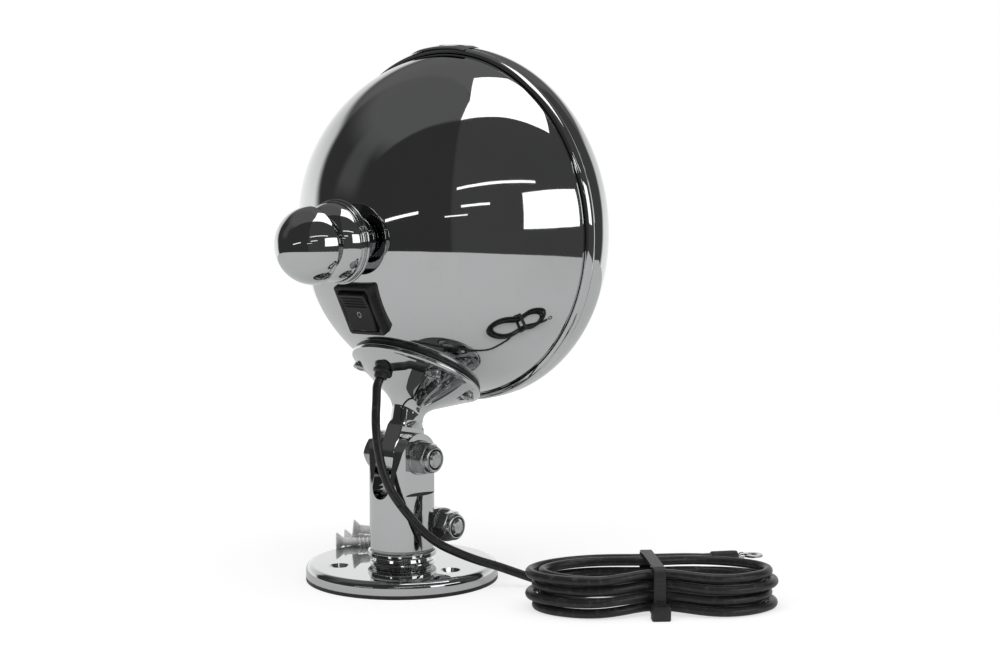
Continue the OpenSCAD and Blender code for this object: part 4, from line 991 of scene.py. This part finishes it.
# lens: two spheres' caps over a flat rim; mirror: a sphere's cap outside, a paraboloid inside;
# burner: a tube with a round nose
def makeLamp():
    l = lamp
    ball = (l["domeRadius"] ** 2 + l["bulge"] ** 2) / (2 * l["bulge"])
    centreU = l["gasketU"] + l["bulge"] - ball
    reach = np.degrees(np.arcsin(l["domeRadius"] / ball))
    front = arcPoints(0, centreU, ball, 90, 90 - reach, 70)
    back = arcPoints(0, centreU, ball - l["glass"], 90 - reach * l["backShare"], 90, 60)
    edge = l["rimEdge"]
    rim = softProfile([(*front[-1], 0), (l["radius"], l["gasketU"], edge), (l["radius"], l["backU"], edge),
                       (l["domeRadius"] - l["rimIn"], l["backU"], edge), (*back[0], 0)], 5)
    lens = build("lampLens", turned(np.vstack([front, rim[1:-1], back]), lampAxis, 192))
    dress(lens, "head", "lens_glass", "lamp_lens")
    mirror = (l["reflector"] ** 2 + l["depth"] ** 2) / (2 * l["depth"])
    poleU = l["backU"] - l["depth"]
    r = np.linspace(0, 1, 60) * (l["reflector"] - l["reflectorWall"])
    inside = np.stack([r, poleU + l["glass"] + (l["depth"] - l["glass"]) * (r / r[-1]) ** 2], 1)
    span = np.degrees(np.arcsin(min(1, l["reflector"] / mirror)))
    outside = arcPoints(0, poleU + mirror, mirror, -90 + span, -90, 60)
    shell = build("lampReflector", turned(np.vstack([inside, outside]), lampAxis, 192))
    dress(shell, "head", "silvered", "lamp_reflector")
    low, high, wide = poleU - l["burnerLow"], poleU + l["burnerHigh"], l["burner"]
    nose = arcPoints(0, poleU + l["tipUp"], l["burnerTip"], 0, 90, 16)
    tip = np.vstack([[(0, low), (wide, low), (wide, high)], nose])
    dress(build("lampBurner", turned(tip, lampAxis, 48)), "head", "lens_glass", "lamp_burner")


makeLamp()
print("lamp made")


# Knob on the bowl's pole

knob = dict(foot=12, footHigh=5, footSink=3, bell=18.8, bellHigh=13, rimHigh=1.2, rimIn=1.2, rimRise=2.2,
            secondRim=0.6, neck=9.5, neckIn=1, neckLong=4, ringShare=2.2, grip=17.2, gripSink=1.5, grub=4.3,
            grubUp=11, grubTurn=237, grubIn=8, grubOut=30)


def makeKnob():
    k = knob
    onPole = overBowl(90, stand["bowlRadius"])
    neckZ = k["footHigh"] + k["bellHigh"]
    gripZ = neckZ + k["neckLong"]
    core, wall, low = k["neck"] - k["neckIn"], k["bell"] - k["rimIn"], k["footHigh"]
    rimTop, second = low + k["rimRise"] + k["rimHigh"], wall + k["secondRim"]
    # bell: two thin rims, then a quarter of an ellipse up to the neck, which carries one round ring
    dome = arcPoints(0, 0, 1, 4, 88, 40) * (wall - core, neckZ - rimTop) + (core, rimTop)
    ring = arcPoints(core, neckZ + k["neckLong"] / 2, k["neckLong"] / k["ringShare"], -78, 78, 16)
    line = np.vstack([[(0, -k["footSink"], 0), (k["foot"], -k["footSink"], 0), (k["foot"], low, 0.3),
                       (k["bell"], low, 0.4), (k["bell"], low + k["rimHigh"], 0.5), (wall, low + k["rimHigh"], 0.25),
                       (wall, low + k["rimRise"], 0.25), (second, low + k["rimRise"], 0.4), (second, rimTop, 0.4),
                       (wall, rimTop, 0.1)],
                      withRadius(dome), withRadius(ring), [(core, gripZ, 0), (0, gripZ, 0)]])
    bell = build("knobBell", turned(softProfile(line, 6), onPole, 128))
    drillWay = onPole @ shift(0, 0, k["grubUp"]) @ turn("z", k["grubTurn"]) @ turn("x", 90)
    combine(bell, [build("cut", cylinder(k["grub"] / 2, k["grubIn"], k["grubOut"], drillWay, 32))], "DIFFERENCE")
    dress(bell, "head", "chrome", "knob_bell", crease=40)
    # grip: a ball with a flat where it meets the neck
    start = np.degrees(np.arcsin(k["gripSink"] / k["grip"]))
    ball = withRadius(arcPoints(0, gripZ - k["gripSink"], k["grip"], start, 90, 60))
    ball[0, 2] = 0.4
    grip = build("knobGrip", turned(softProfile(np.vstack([[(0, gripZ, 0)], ball]), 6), onPole, 128))
    dress(grip, "head", "chrome", "knob_grip", crease=50)


makeKnob()
print("knob made")


# Switch

switch = dict(angle=67.83, wide=22, long=24.6, rim=2.6, wall=3, endSlim=0.6, corner=1.6, pit=7, gap=0.4, lift=1.6,
              hollow=1.25, edge=0.5, flatFrom=0.7, ridges=4, ridgePitch=1.6, ridgeIn=1.2, ridgeDeep=0.22, rake=0.75,
              waistZ=0.6, footZ=-3.6, footShare=0.8)
# plain marks by their places along the rocker: a ring, one stroke and two strokes
marks = dict(proud=0.03, ringAt=1.5, ring=(1.05, 1.5), ringSlim=0.8, halfWide=0.22, halfLong=1.0,
             strokes=[(0, 5.2), (-0.7, 8.2), (0.7, 8.2)])


def makeSwitch():
    s, m = switch, marks
    onSwitch = overBowl(s["angle"], stand["bowlRadius"])
    halfX, halfY, rim, edge = s["wide"] / 2, s["long"] / 2, s["rim"], s["edge"]
    rockX, rockY = halfX - s["wall"], halfY - s["wall"] + s["endSlim"]
    inX, inY = halfX - rockX - s["gap"], halfY - rockY - s["gap"]

    def hollowTop(y):  # the rocker's top before its edges and ridges
        return rim + s["lift"] - s["hollow"] * (1 - (y / rockY) ** 2)

    def edged(half, count):  # places across the rocker, close together at its rounded edges
        bend = edge * (1 - np.cos(np.linspace(0.2, np.pi / 2, 6)))
        flat = half - s["flatFrom"]
        return np.r_[-half, -half + bend, np.linspace(-flat, flat, count), half - bend[::-1], half]

    # frame: rounded oblongs, set in by one amount in x and another in y, at rising and falling heights
    levels = [(1, 1, -16), (0, 0, -3), (0, 0, rim - 0.5), (0.15, 0.15, rim - 0.14), (0.5, 0.5, rim),
              (inX - 0.3, inY - 0.3, rim), (inX, inY, rim - 0.25), (inX, inY, -s["pit"])]
    rows = [closed(np.c_[roundedOblong(halfX - dx, halfY - dy, max(s["corner"] - dx, 0.3), 8), np.full(32, z)])
            for dx, dy, z in levels]
    grid = np.stack([rows[0] * (0, 0, 1), *rows, rows[-1] * (0, 0, 1)])
    dress(build("switchFrame", carry(grid, onSwitch)), "head", "switch_black", "switch_frame", crease=40)
    # rocker: a shallow hollow along its length, four ridges at one end, edges rounded off, skirt down into the pit
    gx, gy = np.meshgrid(edged(rockX, 17), edged(rockY, 121), indexing="ij")
    inside = np.minimum(rockX - np.abs(gx), rockY - np.abs(gy))
    fall = edge - np.sqrt(np.clip(edge**2 - (edge - np.minimum(inside, edge)) ** 2, 0, None))
    groove = np.cos(np.clip((gy + rockY - s["ridgeIn"]) / s["ridgePitch"], 0, s["ridges"]) * 2 * np.pi)
    groove = s["ridgeDeep"] * (1 - groove) * (np.abs(gx) < rockX - s["ridgeIn"])
    cover = np.stack([gx, gy * (1 - s["rake"] / rockY), hollowTop(gy) - fall - groove], -1)
    waist = np.stack([gx, gy, 0 * gx + s["waistZ"]], -1)
    foot = np.stack([gx, gy * s["footShare"], 0 * gx + s["footZ"]], -1)
    grids = [cover, foot] + wallGrids((foot, waist, cover))
    rocker = build("switchRocker", *(carry(g, onSwitch) for g in grids))
    dress(rocker, "rocker", "switch_black", "switch_rocker", crease=45)
    # the marks lie just over the rocker's hollow
    a = np.linspace(0, 2 * np.pi, 33)
    flats = [np.stack([np.stack([r * np.cos(a) * m["ringSlim"], r * np.sin(a) + m["ringAt"]], 1) for r in m["ring"]])]
    dx, dy = m["halfWide"], m["halfLong"]
    flats += [np.array([[(-dx, -dy), (dx, -dy)], [(-dx, dy), (dx, dy)]]) + at for at in m["strokes"]]
    grids = [np.dstack([flat, hollowTop(flat[..., 1]) + m["proud"]]) for flat in flats]
    dress(build("switchMarks", *(carry(g, onSwitch) for g in grids)), "rocker", "switch_black", finish="marks")


makeSwitch()
print("switch made")


# What stays as its solid gets smooth faces with crisp edges

solidLook = dict(weld=1e-6, crease=25)


def smoothSolid(node):
    node.data.polygons.foreach_set("use_smooth", np.ones(len(node.data.polygons), bool))
    node.modifiers.new("weld", "WELD").merge_threshold = solidLook["weld"]
    node.modifiers.new("split", "EDGE_SPLIT").split_angle = np.radians(solidLook["crease"])


for node in frame["nodes"].values():
    if not node.hide_render:
        smoothSolid(node)


# Studio: white paper on a round table, lit softly, and a dim room that only reflections see

studio = dict(paperGlow=0.68, inMetal=0.36, paperColour=0.36, skyDiffuse=0.45, tableMiddle=640, tableSwing=115,
              tableTurn=27, tableDrop=0.05, fadeFrom=0.3, fadeTo=0.5)
bowlMiddle = atBowl[:3, 3]
white = (1, 1, 1, 1)


def stageFinish(name, surface):
    material = bpy.data.materials.new(name)
    material.use_nodes = True
    tree = material.node_tree
    tree.nodes.clear()
    shader = surface(Wire(tree))
    out = tree.nodes.new("ShaderNodeOutputMaterial")
    tree.links.new(shader.socket, out.inputs["Surface"])
    return material


def raysOf(w, *kinds):  # 1 for rays of those kinds
    outs = w.add("ShaderNodeLightPath").socket.node.outputs
    share = Wire(w.tree, outs[kinds[0]])
    for kind in kinds[1:]:
        share = w.maths("MAXIMUM", share, Wire(w.tree, outs[kind]))
    return share


def towards(az, el):  # the direction that far round from the camera, to its right, and that far up
    az, el = np.radians(az)[..., None], np.radians(el)[..., None]
    flat = np.cos(az) * viewBack + np.sin(az) * viewRight
    return np.cos(el) * flat + np.sin(el) * upward


def paper(w):
    s = studio
    lit = w.add("ShaderNodeBsdfDiffuse", None, {"Color": (s["paperColour"],) * 3 + (1,)})
    where = w.add("ShaderNodeTexCoord", out="Object")
    far = w.add("ShaderNodeVectorMath", {"operation": "LENGTH"}, {0: where}, 1).between(s["fadeFrom"], s["fadeTo"])
    near = raysOf(w, "Is Camera Ray", "Is Transmission Ray") * (s["paperGlow"] + (1 - s["paperGlow"]) * far)
    glow = near + raysOf(w, "Is Glossy Ray") * s["inMetal"]
    shine = w.add("ShaderNodeEmission", None, {"Color": white, "Strength": glow})
    return w.add("ShaderNodeAddShader", None, {0: lit, 1: shine})


# the table: rings that grow to an edge which lies nearest on the camera's side
def makeTable():
    s = studio
    az = np.linspace(-180, 180, 97)
    edge = s["tableMiddle"] - s["tableSwing"] * np.cos(np.radians(az - s["tableTurn"]))
    ring = towards(az, 0 * az) * edge[:, None]
    middle = bowlMiddle * (1, 1, 0) - upward * s["tableDrop"]
    table = build("table", np.linspace(0, 1, 13)[:, None, None] * ring + middle)
    table.data.materials.append(stageFinish("paper", paper))


def makeWorld():
    world = bpy.data.worlds.new("studio")
    world.use_nodes = True
    scene.world = world
    w = Wire(world.node_tree)
    sky = w.tree.nodes["Background"].inputs
    share = raysOf(w, "Is Camera Ray", "Is Glossy Ray", "Is Transmission Ray")
    w.tree.links.new((share + (1 - share) * studio["skyDiffuse"]).socket, sky["Strength"])
    sky["Color"].default_value = white


makeTable()
makeWorld()

# the room round the table, by direction from the bowl: walls, a ceiling sheet and the white backdrop behind,
# with a lit panel overhead, a window and some tubes; pairs are the angles that a tone fades in between
room = dict(radius=1500, dark=0.045, wall=0.075, seam=-14, seamSoft=1, pillar=0.1, pillarRight=(-78, -88),
            pillarLeft=(-106, -98), pillarUp=(8, 20), ceiling=0.14, ceilingUp=(30, 48), sheetFront=0.39,
            sheetSide=0.0, sheetSoft=0.02, leftFrom=117.5, leftLean=0.6, rightFrom=108, rightLean=0.35, backSoft=5,
            behind=0.16, behindUp=(20, 40), backdrop=1.2, backdropFall=0.016, backdropUp=(32, 25), panes=0.9,
            high=900, glow=2.2)
roomLights = dict(
    overhead=[(-0.265, 0.042), (-0.372, 0.281), (-0.108, 0.615), (0.233, 0.87), (0.317, 0.328), (0.412, -0.103),
              (0.123, -0.003)],
    window=[[(31.5, 18.3), (70.5, 17.6)], [(31, -3), (71, -1.1)]],
    tubes=[(-11, 21.6, 42, 24.3, 1.5), (-57, 1.7, -35, 6.7, 1.6), (-8, 10.8, 10, 12.6, 1.4),
           (-18, 4.4, -4, 5.7, 0.7)])


def onlyReflected(obj):
    obj.visible_camera = obj.visible_diffuse = obj.visible_shadow = False
    obj.visible_transmission = obj.visible_volume_scatter = False


def roomTone(d):  # how bright the room is in those directions
    r = room
    az = np.degrees(np.arctan2(d @ viewRight, d @ viewBack))
    el = np.degrees(np.arcsin(d[:, 2]))
    up, rise = np.maximum(d[:, 2], 0.05), np.maximum(el, 0)
    x, y = d @ viewBack / up, d @ viewRight / up
    sheet = [ease(v, edge + r["sheetSoft"], edge - r["sheetSoft"])
             for v, edge in ((x, r["sheetFront"]), (y, r["sheetSide"]))]
    past = np.where(az < 0, -az - r["leftFrom"] - r["leftLean"] * rise, az - r["rightFrom"] - r["rightLean"] * rise)
    behind = ease(past, -r["backSoft"], r["backSoft"])
    pillar = ease(az, *r["pillarRight"]) * ease(az, *r["pillarLeft"]) * ease(el, *r["pillarUp"])
    layers = [(r["wall"], ease(az, r["seam"] - r["seamSoft"], r["seam"] + r["seamSoft"])), (r["pillar"], pillar),
              (r["ceiling"], sheet[0] * sheet[1] * ease(el, *r["ceilingUp"])),
              (r["behind"], behind * ease(el, *r["behindUp"])),
              (r["backdrop"] - r["backdropFall"] * rise, behind * ease(el, *r["backdropUp"]))]
    tone = r["dark"]
    for aim, share in layers:
        tone = tone + (aim - tone) * share
    return tone


def makeRoom():
    r = room
    az, el = np.meshgrid(np.linspace(-180, 180, 241), np.linspace(-30, 90, 91), indexing="ij")
    walls = build("room", bowlMiddle + r["radius"] * towards(az, el))
    co = np.empty(len(walls.data.vertices) * 3)
    walls.data.vertices.foreach_get("co", co)
    tone = roomTone(unit(co.reshape(-1, 3) / mm - bowlMiddle))
    layer = walls.data.color_attributes.new("tone", "FLOAT_COLOR", "POINT")
    layer.data.foreach_set("color", np.repeat(tone, 4).astype(np.float32))
    walls.data.materials.append(stageFinish("roomWalls", lambda w: w.add("ShaderNodeEmission", None, {
        "Color": w.add("ShaderNodeAttribute", {"attribute_name": "tone"})})))
    onlyReflected(walls)
    flat = np.array(roomLights["overhead"])
    ring = closed(bowlMiddle + r["high"] * (flat[:, :1] * viewBack + flat[:, 1:] * viewRight + upward))
    panes = [np.array(roomLights["window"])]
    for az0, el0, az1, el1, wide in roomLights["tubes"]:
        panes.append(np.array([[(az0, el0 + side), (az1, el1 + side)] for side in (-wide / 2, wide / 2)]))
    panels = [bowlMiddle + r["panes"] * r["radius"] * towards(pane[..., 0], pane[..., 1]) for pane in panes]
    lights = build("roomLights", np.stack([np.broadcast_to(ring[:-1].mean(0), ring.shape), ring]), *panels)
    lights.data.materials.append(stageFinish("roomGlow", lambda w: w.add("ShaderNodeEmission", None, {
        "Color": white, "Strength": r["glow"]})))
    onlyReflected(lights)


makeRoom()


def addPanelLight(name, at, aim, size, power):
    data = bpy.data.lights.new(name, "AREA")
    data.shape, data.size, data.size_y, data.energy = "RECTANGLE", size, size, power
    obj = addObject(name, data)
    z = unit(np.array(at) - aim)
    x = unit(np.cross(upward if abs(z[2]) < 0.95 else (0, 1.0, 0), z))
    standAt(obj, x, np.cross(z, x), z, at)
    obj.visible_glossy = obj.visible_camera = False


addPanelLight("panelTop", (-0.2, 0.1, 1.6), (0, 0, 0.1), 1.6, 16)
addPanelLight("panelLeft", (0.3, 1.5, 0.9), (0, 0, 0.1), 0.9, 7)

print("scene done")
